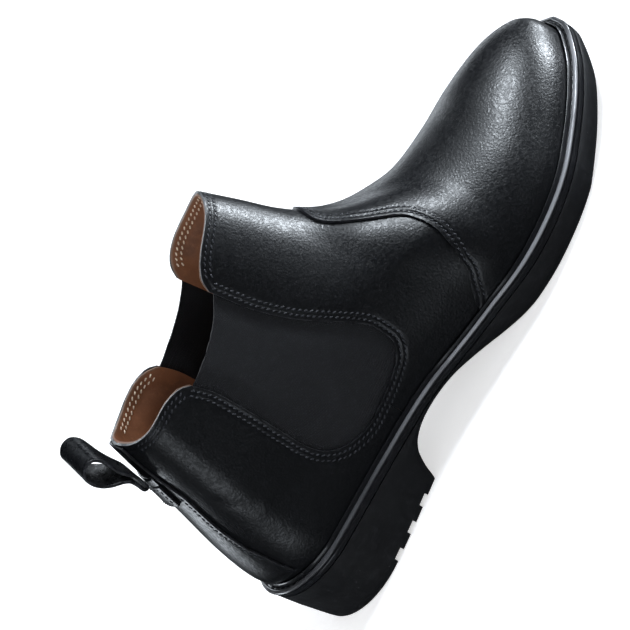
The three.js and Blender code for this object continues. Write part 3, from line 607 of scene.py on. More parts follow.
def rear_grid(back_turn, step=1.8):
    u = graded(105, stop=True, step=step, keep=(REAR_CORNER,))
    v = graded(95, stop=True, step=step)
    seam_base = hung(at_feather(SIDE_SEAM - SEAM_GAP / 2))
    seam_top = locate([(GORE_FOOT[0] - SEAM_GAP / 2, GORE_FOOT[1])])[0]
    gore = np.vstack([[seam_top], locate(GORE_REAR[1:])])[::-1]
    top = locate(REAR_TOP)[::-1]
    back_top = (back_turn, top[0, 1])
    high = chain([back_top, *top], gore, u, REAR_CORNER)
    behind_bulge = u - 0.12 * np.sin(pi * u)
    bottom = spread([(back_turn, -HANG), seam_base], behind_bulge)
    left = spread([(back_turn, -HANG), back_top], v)
    return coons(bottom, high, left, spread([seam_base, seam_top], v), u, v)


def gore_grid():
    middle, corner = len(GORE_REAR) - 1, 6
    rear, front = GORE_CUT[: corner + 1][::-1], GORE_CUT[middle + 3 :]
    foot = GORE_CUT[corner : middle + 4]
    top = [rear[-1], *locate(GORE_HEAD), front[-1]]
    u, v = np.linspace(0, 1, 37), np.linspace(0, 1, 361)
    return coons(spread(foot, u), spread(top, u), spread(rear, v), spread(front, v), u, v)


def strip_grid(side, low, high, u, v):
    """A patch across the back seam between a side line and its mirror image."""
    other = side * (-1, 1)
    bottom = spread([other[0], low, side[0]], u)
    top = spread([other[-1], high, side[-1]], u)
    return coons(bottom, top, spread(other, v), spread(side, v), u, v)


def back_strip_grid():
    low = (0, locate([(5.4, float(feather_z(6)) + 2.6)])[0, 1])
    high = (0, locate([(35, 136)])[0, 1])
    u = graded(40, True, True, step=1.5, depth=4)
    return strip_grid(STRIP_SIDE, low, high, u, graded(98, stop=True))


def tab_grid():
    side = locate(TAB_EDGE)
    u, v = np.linspace(0, 1, 25), np.linspace(0, 1, 17)
    return strip_grid(side, (0, side[0, 1]), (0, side[1, 1]), u, v)


# ------------------------------------------------------------------------------ meshes
def new_object(name, vertices, faces, material, smooth=True):
    mesh = bpy.data.meshes.new(name)
    mesh.from_pydata([tuple(v) for v in vertices], [], [tuple(int(i) for i in f) for f in faces])
    mesh.validate()
    if smooth:
        mesh.shade_smooth()
    piece = bpy.data.objects.new(name, mesh)
    bpy.context.scene.collection.objects.link(piece)
    mesh.materials.append(material)
    return piece


def point_values(piece, name, values):
    attribute = piece.data.attributes.new(name, "FLOAT", "POINT")
    attribute.data.foreach_set("value", np.asarray(values, np.float32).ravel())


def rework(piece, act):
    """Runs an edit on a piece's mesh."""
    work = bmesh.new()
    work.from_mesh(piece.data)
    act(work)
    work.to_mesh(piece.data)
    work.free()


def weld(work):
    bmesh.ops.remove_doubles(work, verts=work.verts, dist=2e-5)


def face_out(work):
    bmesh.ops.recalc_face_normals(work, faces=work.faces)


def declare(piece, nodes, body="boot"):
    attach(piece, body)
    if nodes:
        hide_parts(*nodes)
    return piece


def round_rim(piece, width, segments, angle):
    rim = piece.modifiers.new("Rim", "BEVEL")
    rim.width, rim.segments, rim.limit_method, rim.angle_limit = width, segments, "ANGLE", radians(angle)
    rim.harden_normals = True


def thicken(piece, thickness, edge):
    """A sheet's thickness, inwards, and its rounded rim. Both are lengths in metres."""
    solid = piece.modifiers.new("Thickness", "SOLIDIFY")
    solid.thickness, solid.offset = thickness, -1
    round_rim(piece, edge, 3, 50)


FAR_FROM_EDGE = 20.0


def sheet_piece(name, grids, lift, thickness, edge, material, nodes, reach=None):
    """A sewn sheet over grids of (turn, rise) at a lift above the skin."""
    vertices, faces, near, start = [], [], [], 0
    for grid in grids:
        rows, columns = grid.shape[:2]
        turn, rise = grid[..., 0], grid[..., 1]
        points = skin(turn, rise) + lift(turn, rise)[..., None] * skin_normal(turn, rise)
        vertices.append(points.reshape(-1, 3))
        near.append(reach(skin(turn, rise)).ravel() if reach else np.full(turn.size, FAR_FROM_EDGE))
        ids = start + np.arange(rows * columns).reshape(rows, columns)
        corners = [ids[:-1, :-1], ids[:-1, 1:], ids[1:, 1:], ids[1:, :-1]]
        faces.append(np.stack(corners, -1).reshape(-1, 4))
        start += rows * columns
    piece = new_object(name, place(np.vstack(vertices)), np.vstack(faces), material)
    point_values(piece, "edge_mm", np.concatenate(near))
    rework(piece, weld)
    thicken(piece, thickness, edge)
    return declare(piece, nodes)


def tube(name, rings, material, closed=True, capped=False):
    """A surface through rings of points; closed joins the last ring to the first."""
    rings = np.asarray(rings)
    count, sides = rings.shape[:2]
    ids = np.arange(count * sides).reshape(count, sides)
    ahead = np.roll(ids, -1, 0) if closed else ids[1:]
    here = ids if closed else ids[:-1]
    faces = np.stack([here, np.roll(here, -1, 1), np.roll(ahead, -1, 1), ahead], -1).reshape(-1, 4).tolist()
    if capped:
        faces += [ids[0][::-1].tolist(), ids[-1].tolist()]
    piece = new_object(name, place(rings.reshape(-1, 3)), faces, material)
    rework(piece, face_out)
    return piece


def stitch_shape(sides=8, rings=7):
    """One stitch: a short rounded thread, sunk at both ends. Length, width and height are 1."""
    along = np.linspace(-0.5, 0.5, rings)
    bulge = np.sqrt(np.clip(1 - (2 * along) ** 2, 0, 1)) ** 0.7
    angle = np.linspace(0, 2 * pi, sides, endpoint=False)
    points = [(-0.5, 0, -0.25)]
    for x, r in zip(along[1:-1], bulge[1:-1]):
        points += [(x, 0.5 * r * cos(a), 0.5 * r * sin(a) - 0.5 * x * x) for a in angle]
    points.append((0.5, 0, -0.25))
    faces, last = [], len(points) - 1
    for k in range(sides):
        other = (k + 1) % sides
        faces.append((0, 1 + other, 1 + k))
        faces.append((last, last - sides + k, last - sides + other))
        for i in range(rings - 3):
            a, b = 1 + i * sides, 1 + (i + 1) * sides
            faces.append((a + k, a + other, b + other, b + k))
    return np.array(points), faces


STITCH_POINTS, STITCH_FACES = stitch_shape()


def stitch_row(places, normals, dims, lean):
    """Points of evenly spaced stitches along a line of places with the normals under them."""
    pitch, *size = dims
    run = run_along(places)
    count = max(int(run[-1] / pitch), 1)
    at = (np.arange(count) + 0.5) * run[-1] / count
    look = lambda table, where: np.stack([np.interp(where, run, table[:, c]) for c in range(3)], -1)
    centre, normal = look(places, at), unit(look(normals, at))
    tangent = look(places, at + 0.4) - look(places, at - 0.4)
    tangent = unit(tangent - (tangent * normal).sum(1, keepdims=True) * normal)
    tangent = tangent * cos(lean) + np.cross(normal, tangent) * sin(lean)
    axes = tangent, np.cross(normal, tangent), normal
    scale = STITCH_POINTS * size
    return centre[:, None] + sum(scale[None, :, c, None] * axes[c][:, None] for c in range(3))


def stitches(name, rows, material, nodes, dims, lean=0.0):
    """All the stitches of one or more rows as one piece. A row is (places, normals)."""
    points = np.concatenate([stitch_row(p, n, dims, lean) for p, n in rows])
    block = len(STITCH_POINTS)
    faces = [[i + k * block for i in f] for k in range(len(points)) for f in STITCH_FACES]
    piece = new_object(name, place(points.reshape(-1, 3)), faces, material)
    return declare(piece, nodes)


def row_on(line, lift, offset, count=160):
    """Places and normals along a (turn, rise) line, at an offset over a lifted surface."""
    at = spread(line, np.linspace(0, 1, count))
    turn, rise = at.T
    normals = skin_normal(turn, rise)
    return skin(turn, rise) + (lift(turn, rise) + offset)[:, None] * normals, normals


def rim_place(turn, offset, height):
    """Places at an offset outside the feather line in plan."""
    turn = np.asarray(turn, float)
    outwards = unit(skin_normal(turn, np.full(turn.shape, -0.02)) * (1, 1, 0))
    points = skin(turn, np.zeros(turn.shape)) + np.broadcast_to(offset, turn.shape)[..., None] * outwards
    points[..., 2] = height
    return points


def feather_x(turn):
    return HEEL_X + FEATHER_RUN * (1 - np.cos(turn)) / 2


def seat_z(turn):
    return feather_z(feather_x(turn))


# ------------------------------------------------------------------------------ materials
class Finish:
    """A material under construction: its principled shader and short calls for texture nodes."""

    def __init__(self, name, colour, roughness, **sockets):
        self.material = bpy.data.materials.new(name)
        self.material.use_nodes = True
        self.tree = self.material.node_tree
        self.shader = self.tree.nodes["Principled BSDF"]
        self.shader.inputs["Base Color"].default_value = (*colour, 1)
        self.shader.inputs["Roughness"].default_value = roughness
        for socket, value in sockets.items():
            self.shader.inputs[socket.replace("_", " ")].default_value = value
        self.colour = tuple(colour)
        self.place = self.node("ShaderNodeTexCoord").outputs["Object"]

    def node(self, kind, inputs=None, **settings):
        made = self.tree.nodes.new(kind)
        for name, value in settings.items():
            setattr(made, name, value)
        for name, value in (inputs or {}).items():
            if isinstance(value, bpy.types.NodeSocket):
                self.tree.links.new(value, made.inputs[name])
            else:
                made.inputs[name].default_value = value
        return made

    def stretched(self, x, y, z):
        return self.node("ShaderNodeMapping", {"Vector": self.place, "Scale": (x, y, z)}).outputs["Vector"]

    def noise(self, scale, detail=3.0, where=None):
        inputs = {"Vector": where or self.place, "Scale": scale, "Detail": detail}
        return self.node("ShaderNodeTexNoise", inputs).outputs["Fac"]

    def cells(self, scale, feature="SMOOTH_F1"):
        inputs = {"Vector": self.place, "Scale": scale}
        return self.node("ShaderNodeTexVoronoi", inputs, feature=feature).outputs["Distance"]

    def bands(self, scale, direction, distortion=0.0):
        inputs = {"Vector": self.place, "Scale": scale, "Distortion": distortion}
        return self.node("ShaderNodeTexWave", inputs, bands_direction=direction).outputs["Fac"]

    def value(self, name):
        return self.node("ShaderNodeAttribute", attribute_name=name).outputs["Fac"]

    def math(self, operation, a, b=0.0):
        return self.node("ShaderNodeMath", {0: a, 1: b}, operation=operation).outputs[0]

    def span(self, value, low, high, out_low=0.0, out_high=1.0):
        names = "Value", "From Min", "From Max", "To Min", "To Max"
        inputs = dict(zip(names, (value, low, high, out_low, out_high)))
        return self.node("ShaderNodeMapRange", inputs, interpolation_type="SMOOTHSTEP").outputs["Result"]

    def tint(self, factor, other):
        """Mixes another colour over the base colour where the factor is high."""
        mix = self.node("ShaderNodeMix", data_type="RGBA")
        self.tree.links.new(factor, mix.inputs[0])
        base = self.shader.inputs["Base Color"]
        if base.is_linked:
            self.tree.links.new(base.links[0].from_socket, mix.inputs[6])
        else:
            mix.inputs[6].default_value = (*self.colour, 1)
        mix.inputs[7].default_value = (*other, 1)
        self.tree.links.new(mix.outputs[2], base)

    def rough(self, value, low, high, out_low, out_high):
        self.tree.links.new(self.span(value, low, high, out_low, out_high), self.shader.inputs["Roughness"])

    def bump(self, height, strength, distance):
        """Adds a relief, over any relief already there. The distance is a length in metres."""
        socket = self.shader.inputs["Normal"]
        inputs = {"Height": height, "Strength": strength, "Distance": distance}
        if socket.is_linked:
            inputs["Normal"] = socket.links[0].from_socket
        self.tree.links.new(self.node("ShaderNodeBump", inputs).outputs["Normal"], socket)


def scaled(colour, factor):
    return tuple(min(c * factor, 1) for c in colour)


def upper_leather(name, look, gloss=0.0):
    """Smooth finished calf: fine grain, slow unevenness in gloss, greyer cut edges."""
    colour = tuple(look.leather)
    f = Finish(name, colour, look.leather_roughness, Coat_Weight=0.12, Coat_Roughness=0.28)
    even = look.leather_roughness - gloss
    f.rough(f.noise(620, 4), 0.35, 0.65, even - 0.07, even + 0.08)
    f.tint(f.span(f.noise(900, 3), 0.5, 0.75), scaled(colour, 2.2))
    worn = f.math("MULTIPLY", f.span(f.value("edge_mm"), 0.15, 0.9, 1.0, 0.0), f.noise(260, 2))
    f.tint(f.span(worn, 0.25, 0.8, 0.0, 0.7), (0.028, 0.03, 0.035))
    f.bump(f.noise(120, 2), 0.3, 0.0002)
    f.bump(f.noise(560, 3), 0.35, 0.0002)
    f.bump(f.cells(1050), 0.6, 0.00018)
    return f.material


def lining_leather(name, look):
    """Undyed drum-tanned calf lining, matt, with pores and uneven colour."""
    colour = tuple(look.lining)
    f = Finish(name, colour, 0.6)
    f.tint(f.span(f.noise(60, 5), 0.4, 0.75), scaled(colour, 0.55))
    f.tint(f.span(f.noise(420, 3), 0.5, 0.8, 0.0, 0.6), scaled(colour, 1.35))
    f.tint(f.span(f.value("edge_mm"), 0.2, 1.1, 0.7, 0.0), (0.2, 0.13, 0.09))
    f.rough(f.noise(150), 0.3, 0.7, 0.52, 0.7)
    f.bump(f.noise(300, 4), 0.3, 0.0002)
    f.bump(f.cells(1300), 0.5, 0.00012)
    return f.material


def elastic_weave(name, look):
    """Covered rubber yarns: ribs along the stretch and a fine weft across them."""
    colour = tuple(look.elastic)
    f = Finish(name, colour, 0.72, Sheen_Weight=0.1, Sheen_Roughness=0.4, Specular_IOR_Level=0.35)
    f.tint(f.span(f.noise(1500, 2), 0.5, 0.75, 0.0, 0.8), scaled(colour, 3.0))
    f.tint(f.math("MULTIPLY", f.bands(435, "Z"), f.bands(520, "X", 1.0)), scaled(colour, 2.0))
    f.bump(f.bands(520, "X", 1.2), 0.6, 0.00016)
    f.bump(f.bands(435, "Z", 0.3), 0.6, 0.00014)
    return f.material


def sole_rubber(name, look, roughness, specks=1.0, polish=0.0):
    """Moulded rubber: satin skin, faint flow lines along the side and a few light specks."""
    colour = tuple(look.rubber)
    coat = {"Coat_Weight": polish, "Coat_Roughness": 0.16}
    f = Finish(name, colour, roughness, Specular_IOR_Level=0.4, **coat)
    f.rough(f.noise(120, 4), 0.3, 0.7, roughness - 0.05, roughness + 0.1)
    f.tint(f.span(f.noise(300, 4), 0.5, 0.8), scaled(colour, 1.8))
    dust = f.span(f.cells(260, "F1"), 0.05, 0.1, 1.0, 0.0)
    dusty = f.span(f.noise(30, 2), 0.5, 0.62, 0.0, 0.4 * specks)
    f.tint(f.math("MULTIPLY", dust, dusty), (0.1, 0.1, 0.11))
    # With polish the bead is painted lighter grey: partly worn rubber, partly a painted reflection of the
    # light along it
    if polish:
        wear_and_sheen = f.span(f.noise(90, 4, f.stretched(0.4, 1, 1)), 0.3, 0.5, 0.65, 1.0)
        f.tint(f.math("MULTIPLY", f.value("bead"), wear_and_sheen), (0.2, 0.205, 0.22))
    f.bump(f.noise(500, 3, f.stretched(0.15, 0.15, 1.6)), 0.25, 0.0002)
    f.bump(f.noise(1100, 3), 0.3, 0.0001)
    return f.material


def sewing_thread(name, colour, shine=0.45):
    f = Finish(name, colour, shine)
    f.tint(f.span(f.noise(900, 2), 0.45, 0.75), scaled(colour, 1.8))
    f.bump(f.bands(700, "DIAGONAL", 1.0), 0.5, 0.0001)
    return f.material


def pressed_board(name, colour):
    f = Finish(name, colour, 0.85)
    f.tint(f.span(f.noise(700, 5), 0.45, 0.7), scaled(colour, 0.55))
    f.bump(f.noise(1200, 5), 0.5, 0.0003)
    return f.material


def cork_crumb(name, colour):
    f = Finish(name, colour, 0.9)
    f.tint(f.span(f.cells(420, "F1"), 0.1, 0.6), scaled(colour, 0.35))
    f.bump(f.cells(420, "F1"), 0.7, 0.0005)
    return f.material


def foam_pad(name, colour):
    f = Finish(name, colour, 0.95)
    f.tint(f.span(f.cells(800, "F1"), 0.2, 0.7), scaled(colour, 0.7))
    f.bump(f.cells(800, "F1"), 0.6, 0.0003)
    return f.material


def drawn_metal(name, colour, roughness):
    f = Finish(name, colour, roughness, Metallic=1.0)
    lines = f.noise(900, 2, f.stretched(0.05, 1, 1))
    f.rough(lines, 0.3, 0.7, roughness - 0.1, roughness + 0.15)
    f.bump(lines, 0.2, 0.00005)
    return f.material


def studio_floor(name, look):
    colour = tuple(look.floor)
    f = Finish(name, colour, 0.9, Emission_Color=(1, 1, 1, 1), Emission_Strength=look.floor_glow)
    f.tint(f.span(f.noise(3, 3), 0.4, 0.7, 0.0, 0.3), scaled(colour, 0.97))
    return f.material


# ------------------------------------------------------------------------------ settings
def length(name, description, default):
    text = {"name": name, "description": description}
    return FloatProperty(**text, default=default, min=0, unit="LENGTH", precision=5)


def tone(name, description, default):
    text = {"name": name, "description": description}
    return FloatVectorProperty(**text, default=default, size=3, subtype="COLOR", min=0, max=1)


class BootSizes(bpy.types.PropertyGroup):
    """Sizes of the boot's materials and seams"""

    leather: length("Leather", "Thickness of the upper leather", 0.0013)
    elastic: length("Elastic", "Thickness of the gore elastic", 0.0009)
    lining: length("Lining", "Thickness of the lining leather", 0.001)
    edge: length("Edge", "Rounding of a cut or folded leather edge", 0.0004)
    webbing: length("Loop leather", "Thickness of the pull loop and its tab", 0.0017)
    stitch_pitch: length("Stitch pitch", "From one stitch to the next", 0.0026)
    stitch_length: length("Stitch length", "Length of one stitch", 0.0022)
    stitch_width: length("Stitch width", "Width of the sewing thread", 0.0008)
    stitch_height: length("Stitch height", "Height of a stitch over the leather", 0.0007)


class BootLooks(bpy.types.PropertyGroup):
    """Colours and finishes of the boot and its stage"""

    leather: tone("Upper leather", "Colour of the upper leather", (0.0028, 0.0032, 0.0042))
    lining: tone("Lining", "Colour of the lining leather", (0.21, 0.08, 0.034))
    elastic: tone("Elastic", "Colour of the gores", (0.005, 0.0056, 0.0072))
    rubber: tone("Rubber", "Colour of the welt and the sole", (0.005, 0.0055, 0.007))
    thread: tone("Thread", "Colour of the outer stitching", (0.019, 0.021, 0.026))
    light_thread: tone("Lining thread", "Colour of the stitching inside the mouth", (0.62, 0.5, 0.38))
    floor: tone("Floor", "Colour of the studio floor", (0.86, 0.86, 0.87))
    leather_roughness: FloatProperty(
        name="Leather roughness", description="Roughness of the upper leather",
        default=0.39, min=0.05, max=1, subtype="FACTOR",
    )
    floor_glow: FloatProperty(
        name="Floor glow", description="Light given off by the studio floor", default=0.55, min=0, max=4,
    )


def settings(context):
    return context.scene.boot_sizes, context.scene.boot_looks


def stitch_dims(sizes):
    """Pitch, length, width and height of a stitch, in millimetres."""
    lengths = sizes.stitch_pitch, sizes.stitch_length, sizes.stitch_width, sizes.stitch_height
    return [length * 1000 for length in lengths]


# ------------------------------------------------------------------------------ operators
class BOOT_OT_vamp(bpy.types.Operator):
    """Build the vamp: the leather over the toe and instep, lapped over the quarters"""

    bl_idname = "boot.vamp"
    bl_label = "Vamp"

    def execute(self, context):
        sizes, looks = settings(context)
        leather = upper_leather("vamp leather", looks, gloss=0.02)
        thickness, edge = sizes.leather, sizes.edge
        reach = lambda points: distance_to(seam_places, points)
        name, grids, nodes = "vamp_leather", [vamp_grid()], ["vamp"]
        sheet_piece(name, grids, vamp_lift, thickness, edge, leather, nodes, reach)
        return {"FINISHED"}


class BOOT_OT_quarters(bpy.types.Operator):
    """Build the front quarter and the two rear quarters"""

    bl_idname = "boot.quarters"
    bl_label = "Quarters"

    def execute(self, context):
        sizes, looks = settings(context)
        leather = upper_leather("quarter leather", looks)
        thickness, edge = sizes.leather, sizes.edge
        reach = lambda points: np.minimum(distance_to(gore_places, outer_side(points)), to_top_line(points))
        rear = rear_grid(0.008)
        for name, grids, node in (
            ("front_quarter_leather", front_grids(LAP), "front_quarter"),
            ("rear_quarter_outer_leather", [rear], "rear_quarter_outer"),
            ("rear_quarter_inner_leather", [flip(rear)], "rear_quarter_inner"),
        ):
            sheet_piece(name, grids, quarter_lift, thickness, edge, leather, [node], reach)
        return {"FINISHED"}


class BOOT_OT_gores(bpy.types.Operator):
    """Build the ribbed elastic gores on both sides"""

    bl_idname = "boot.gores"
    bl_label = "Elastic gores"

    def execute(self, context):
        sizes, looks = settings(context)
        weave = elastic_weave("gore elastic", looks)
        edge = 0.0002
        grid = gore_grid()
        for side, half in (("outer", grid), ("inner", flip(grid))):
            name, nodes = f"gore_{side}_elastic", [f"gore_{side}"]
            sheet_piece(name, [half], gore_lift, sizes.elastic, edge, weave, nodes)
        return {"FINISHED"}


class BOOT_OT_back_strip(bpy.types.Operator):
    """Build the strip over the back seam"""

    bl_idname = "boot.back_strip"
    bl_label = "Back strip"

    def execute(self, context):
        sizes, looks = settings(context)
        leather = upper_leather("strip leather", looks, gloss=0.02)
        thickness = sizes.leather - 0.0001  # skived a little thinner than the upper
        reach = lambda points: distance_to(strip_places, outer_side(points))
        name, grids, nodes = "back_strip_leather", [back_strip_grid()], ["back_strip"]
        sheet_piece(name, grids, strip_lift, thickness, sizes.edge, leather, nodes, reach)
        return {"FINISHED"}


class BOOT_OT_linings(bpy.types.Operator):
    """Build the linings of the vamp, the shaft's front and the heel, and the sock liner"""

    bl_idname = "boot.linings"
    bl_label = "Linings"

    def execute(self, context):
        sizes, looks = settings(context)
        leather = lining_leather("lining leather", looks)
        edge, step = 0.0003, 2.4
        rear = rear_grid(0, step)
        for name, grids, lift, node in (
            ("vamp_lining_leather", [vamp_grid()[::2, ::2]], flat_lift(DEEP), "vamp_lining"),
            ("front_lining_leather", front_grids(-2, step), lining_lift, "front_lining"),
            ("rear_lining_leather", [rear, inner_half(rear)], lining_lift, "rear_lining"),
        ):
            sheet_piece(name, grids, lift, sizes.lining, edge, leather, [node], to_top_line)
        self.sock(leather)
        return {"FINISHED"}

    def sock(self, leather):
        """The sock liner: a thin leather footbed, softly crowned, stepped up over the heel pad."""
        turns = np.linspace(0.1, pi - 0.1, 120)
        pad = 2.9 * (1 - ease(feather_x(turns), 80, 100))
        level = seat_z(turns) + pad
        across = np.linspace(0, 1, 15)
        left, right = (rim_place(side, -5.05, level) for side in (turns, -turns))
        top = np.stack([left + share * (right - left) for share in across], 1)
        crown = 0.35 * np.sin(pi * across) ** 0.5
        rolled = 0.5 * (np.abs(across - 0.5) > 0.49)
        top[..., 2] += 2.2 + crown - rolled
        bottom = top.copy()
        bottom[..., 2] = level[:, None] + 0.98
        rings = np.concatenate([top, bottom[:, ::-1]], 1)
        piece = tube("sock_liner_leather", rings, leather, closed=False, capped=True)
        point_values(piece, "edge_mm", np.full(len(piece.data.vertices), FAR_FROM_EDGE))
        declare(piece, ["sock_liner"])


class BOOT_OT_stitching(bpy.types.Operator):
    """Sew the rows on the vamp, gores, top line and back strip, and inside the mouth"""

    bl_idname = "boot.stitching"
    bl_label = "Stitching"

    LEAN = radians(27)  # each stitch's slant to its row
    OVER = 0.05  # height of a row over the leather
    MOUTH_ROWS = (2.4, 4.8)

    def execute(self, context):
        sizes, looks = settings(context)
        black = sewing_thread("black thread", tuple(looks.thread))
        light = sewing_thread("light thread", tuple(looks.light_thread), 0.6)
        dims = stitch_dims(sizes)

        def sew(name, rows, nodes, thread=black, slot="thread"):
            stitches(name, rows, thread, nodes, dims, self.LEAN)

        for row, distance in enumerate(SEAM_ROWS, 1):
            seam = row_on(shifted(SEAM[1:-1], distance), vamp_lift, self.OVER, 260)
            sew(f"vamp_stitches_{row}", [seam], [f"vamp_thread_{row}"])
            gore = self.outside(GORE_ROUND, distance, skin(*locate([(100, 85)])[0]))
            for side, line in (("outer", gore), ("inner", mirror(gore))):
                lines = [row_on(line, quarter_lift, self.OVER, 220)]
                sew(f"gore_stitches_{side}_{row}", lines, [f"gore_thread_{side}_{row}"])
        front = [row_on(shifted(FRONT_EDGE[1:-1], d), quarter_lift, self.OVER) for d in SEAM_ROWS]
        sew("top_stitches_front", front, ["top_thread_front"])
        rear = [shifted(REAR_EDGE[1:-1], -d) for d in SEAM_ROWS]
        for side, lines in (("outer", rear), ("inner", [mirror(line) for line in rear])):
            rows = [row_on(line, quarter_lift, self.OVER) for line in lines]
            sew(f"top_stitches_rear_{side}", rows, [f"top_thread_rear_{side}"])
        self.strip(sew)
        self.mouth(sew, light)
        return {"FINISHED"}

    def outside(self, line, distance, centre):
        """A line moved away from a place inside it."""
        k = 8
        moved = shifted(line, distance)
        away = np.linalg.norm(skin(*moved[k]) - centre) - np.linalg.norm(skin(*line[k]) - centre)
        return moved if away >= 0 else shifted(line, -distance)

    def strip(self, sew):
        side = STRIP_SIDE[1:7]
        line = shifted(side, STRIP_ROW)
        if line[2, 0] > side[2, 0]:
            line = shifted(side, -STRIP_ROW)
        for name, path in (("outer", line), ("inner", line * (-1, 1))):
            sew(f"strip_stitches_{name}", [row_on(path, strip_lift, self.OVER)], [f"strip_thread_{name}"])

    def mouth(self, sew, light):
        """Light rows on the lining's inner face, below the top line."""
        rows = []
        for distance in self.MOUTH_ROWS:
            front = shifted(FRONT_EDGE[1:-1], distance)
            rear = shifted(REAR_EDGE[1:-1], -distance)
            for line in (front, rear, mirror(rear)):
                places, normals = row_on(line, lining_lift, -1.05)
                rows.append((places, -normals))
        sew("mouth_stitches", rows, [], light, "lining")


class BOOT_OT_welt(bpy.types.Operator):
    """Build the storm welt with its ridge, channel and bead, and the stitches in the channel"""

    bl_idname = "boot.welt"
    bl_label = "Storm welt"

    SECTION = [
        (0.3, -4.5), (0.3, -2), (0.32, -0.5), (0.7, 1.2), (0.95, 1.9), (1.2, 2.1), (1.45, 1.95),
        (1.65, 1.1), (1.8, 0.1), (2.1, -0.3), (2.5, -0.36), (2.9, -0.3), (3.15, 0.1), (3.35, 0.56),
        (3.6, 0.72), (4.2, 0.62), (4.8, 0.36), (5.2, 0.02), (5.46, -0.6), (5.38, -1.3), (5.05, -1.7),
        (4.95, -2.0), (5.1, -2.3), (5.12, -3), (5.1, -4.3), (4.9, -4.5),
    ]
    BEAD = (3.3, 5.3)  # how far out the bead lies; its colour is lightened there, partly as worn rubber and partly as a painted reflection
    STITCH = (4.6, 3.4, 0.9, 0.7)  # pitch, length, width and height in millimetres

    def execute(self, context):
        _, looks = settings(context)
        rubber = sole_rubber("welt rubber", looks, 0.36, specks=0.6, polish=0.6)
        turns = np.linspace(0, 2 * pi, 600, endpoint=False)
        room = self.room(turns)
        joint = 0.35 * ridge(turns, 0.42, 0.006)  # a fine line where the welt's two ends meet
        rings = []
        for offset, height in self.SECTION:
            free = offset > 0.5
            reach = offset + room * (1 - offset / 5.5) - joint * free
            level = seat_z(turns) + height - joint * (free and height > -1)
            rings.append(rim_place(turns, reach, level))
        piece = tube("welt_rubber", np.stack(rings, 1), rubber)
        # the bead values carry the painted reflection on the bead, together with some wear
        point_values(piece, "bead", self.bead_wear_and_sheen(turns))
        soft = piece.modifiers.new("Soften", "SUBSURF")
        soft.levels = soft.render_levels = 1
        declare(piece, ["welt"])
        self.sew(looks)
        return {"FINISHED"}

    def bead_wear_and_sheen(self, turns):
        """How much the bead's colour is lightened, partly as worn rubber and partly as a painted reflection:
        less round the heel and at the tip of the toe, nothing off the bead.
        """
        offset, height = np.array(self.SECTION).T
        low, high = self.BEAD
        on_bead = ease(offset, low - 0.1, low + 0.1) * (1 - ease(offset, high, high + 0.15))
        on_bead = on_bead * (height > -0.4)
        x = feather_x(turns)
        along = (0.25 + 0.75 * ease(x, 60, 150)) * (1 - 0.8 * ease(x, 284, 297))
        return along[:, None] * on_bead

    def room(self, turns):
        """Room for the lifted lap where the vamp runs under the welt."""
        rise = np.zeros(turns.shape)
        lift = [np.maximum(vamp_lift(turns + step, rise), 0) for step in (-0.06, 0, 0.06)]
        room = np.maximum.reduce(lift) * (np.cos(turns) < 0.35)
        return np.convolve(np.concatenate([room[-4:], room, room[:4]]), np.full(9, 1 / 9), "valid")

    def sew(self, looks):
        thread = sewing_thread("welt thread", tuple(looks.thread))
        turns = np.linspace(0.02, 2 * pi - 0.02, 900)
        places = rim_place(turns, 2.48 + self.room(turns) * 0.5, seat_z(turns) - 0.22)
        normals = np.tile((0.0, 0.0, 1.0), (len(turns), 1))
        stitches("welt_stitches", [(places, normals)], thread, ["welt_thread"], self.STITCH)


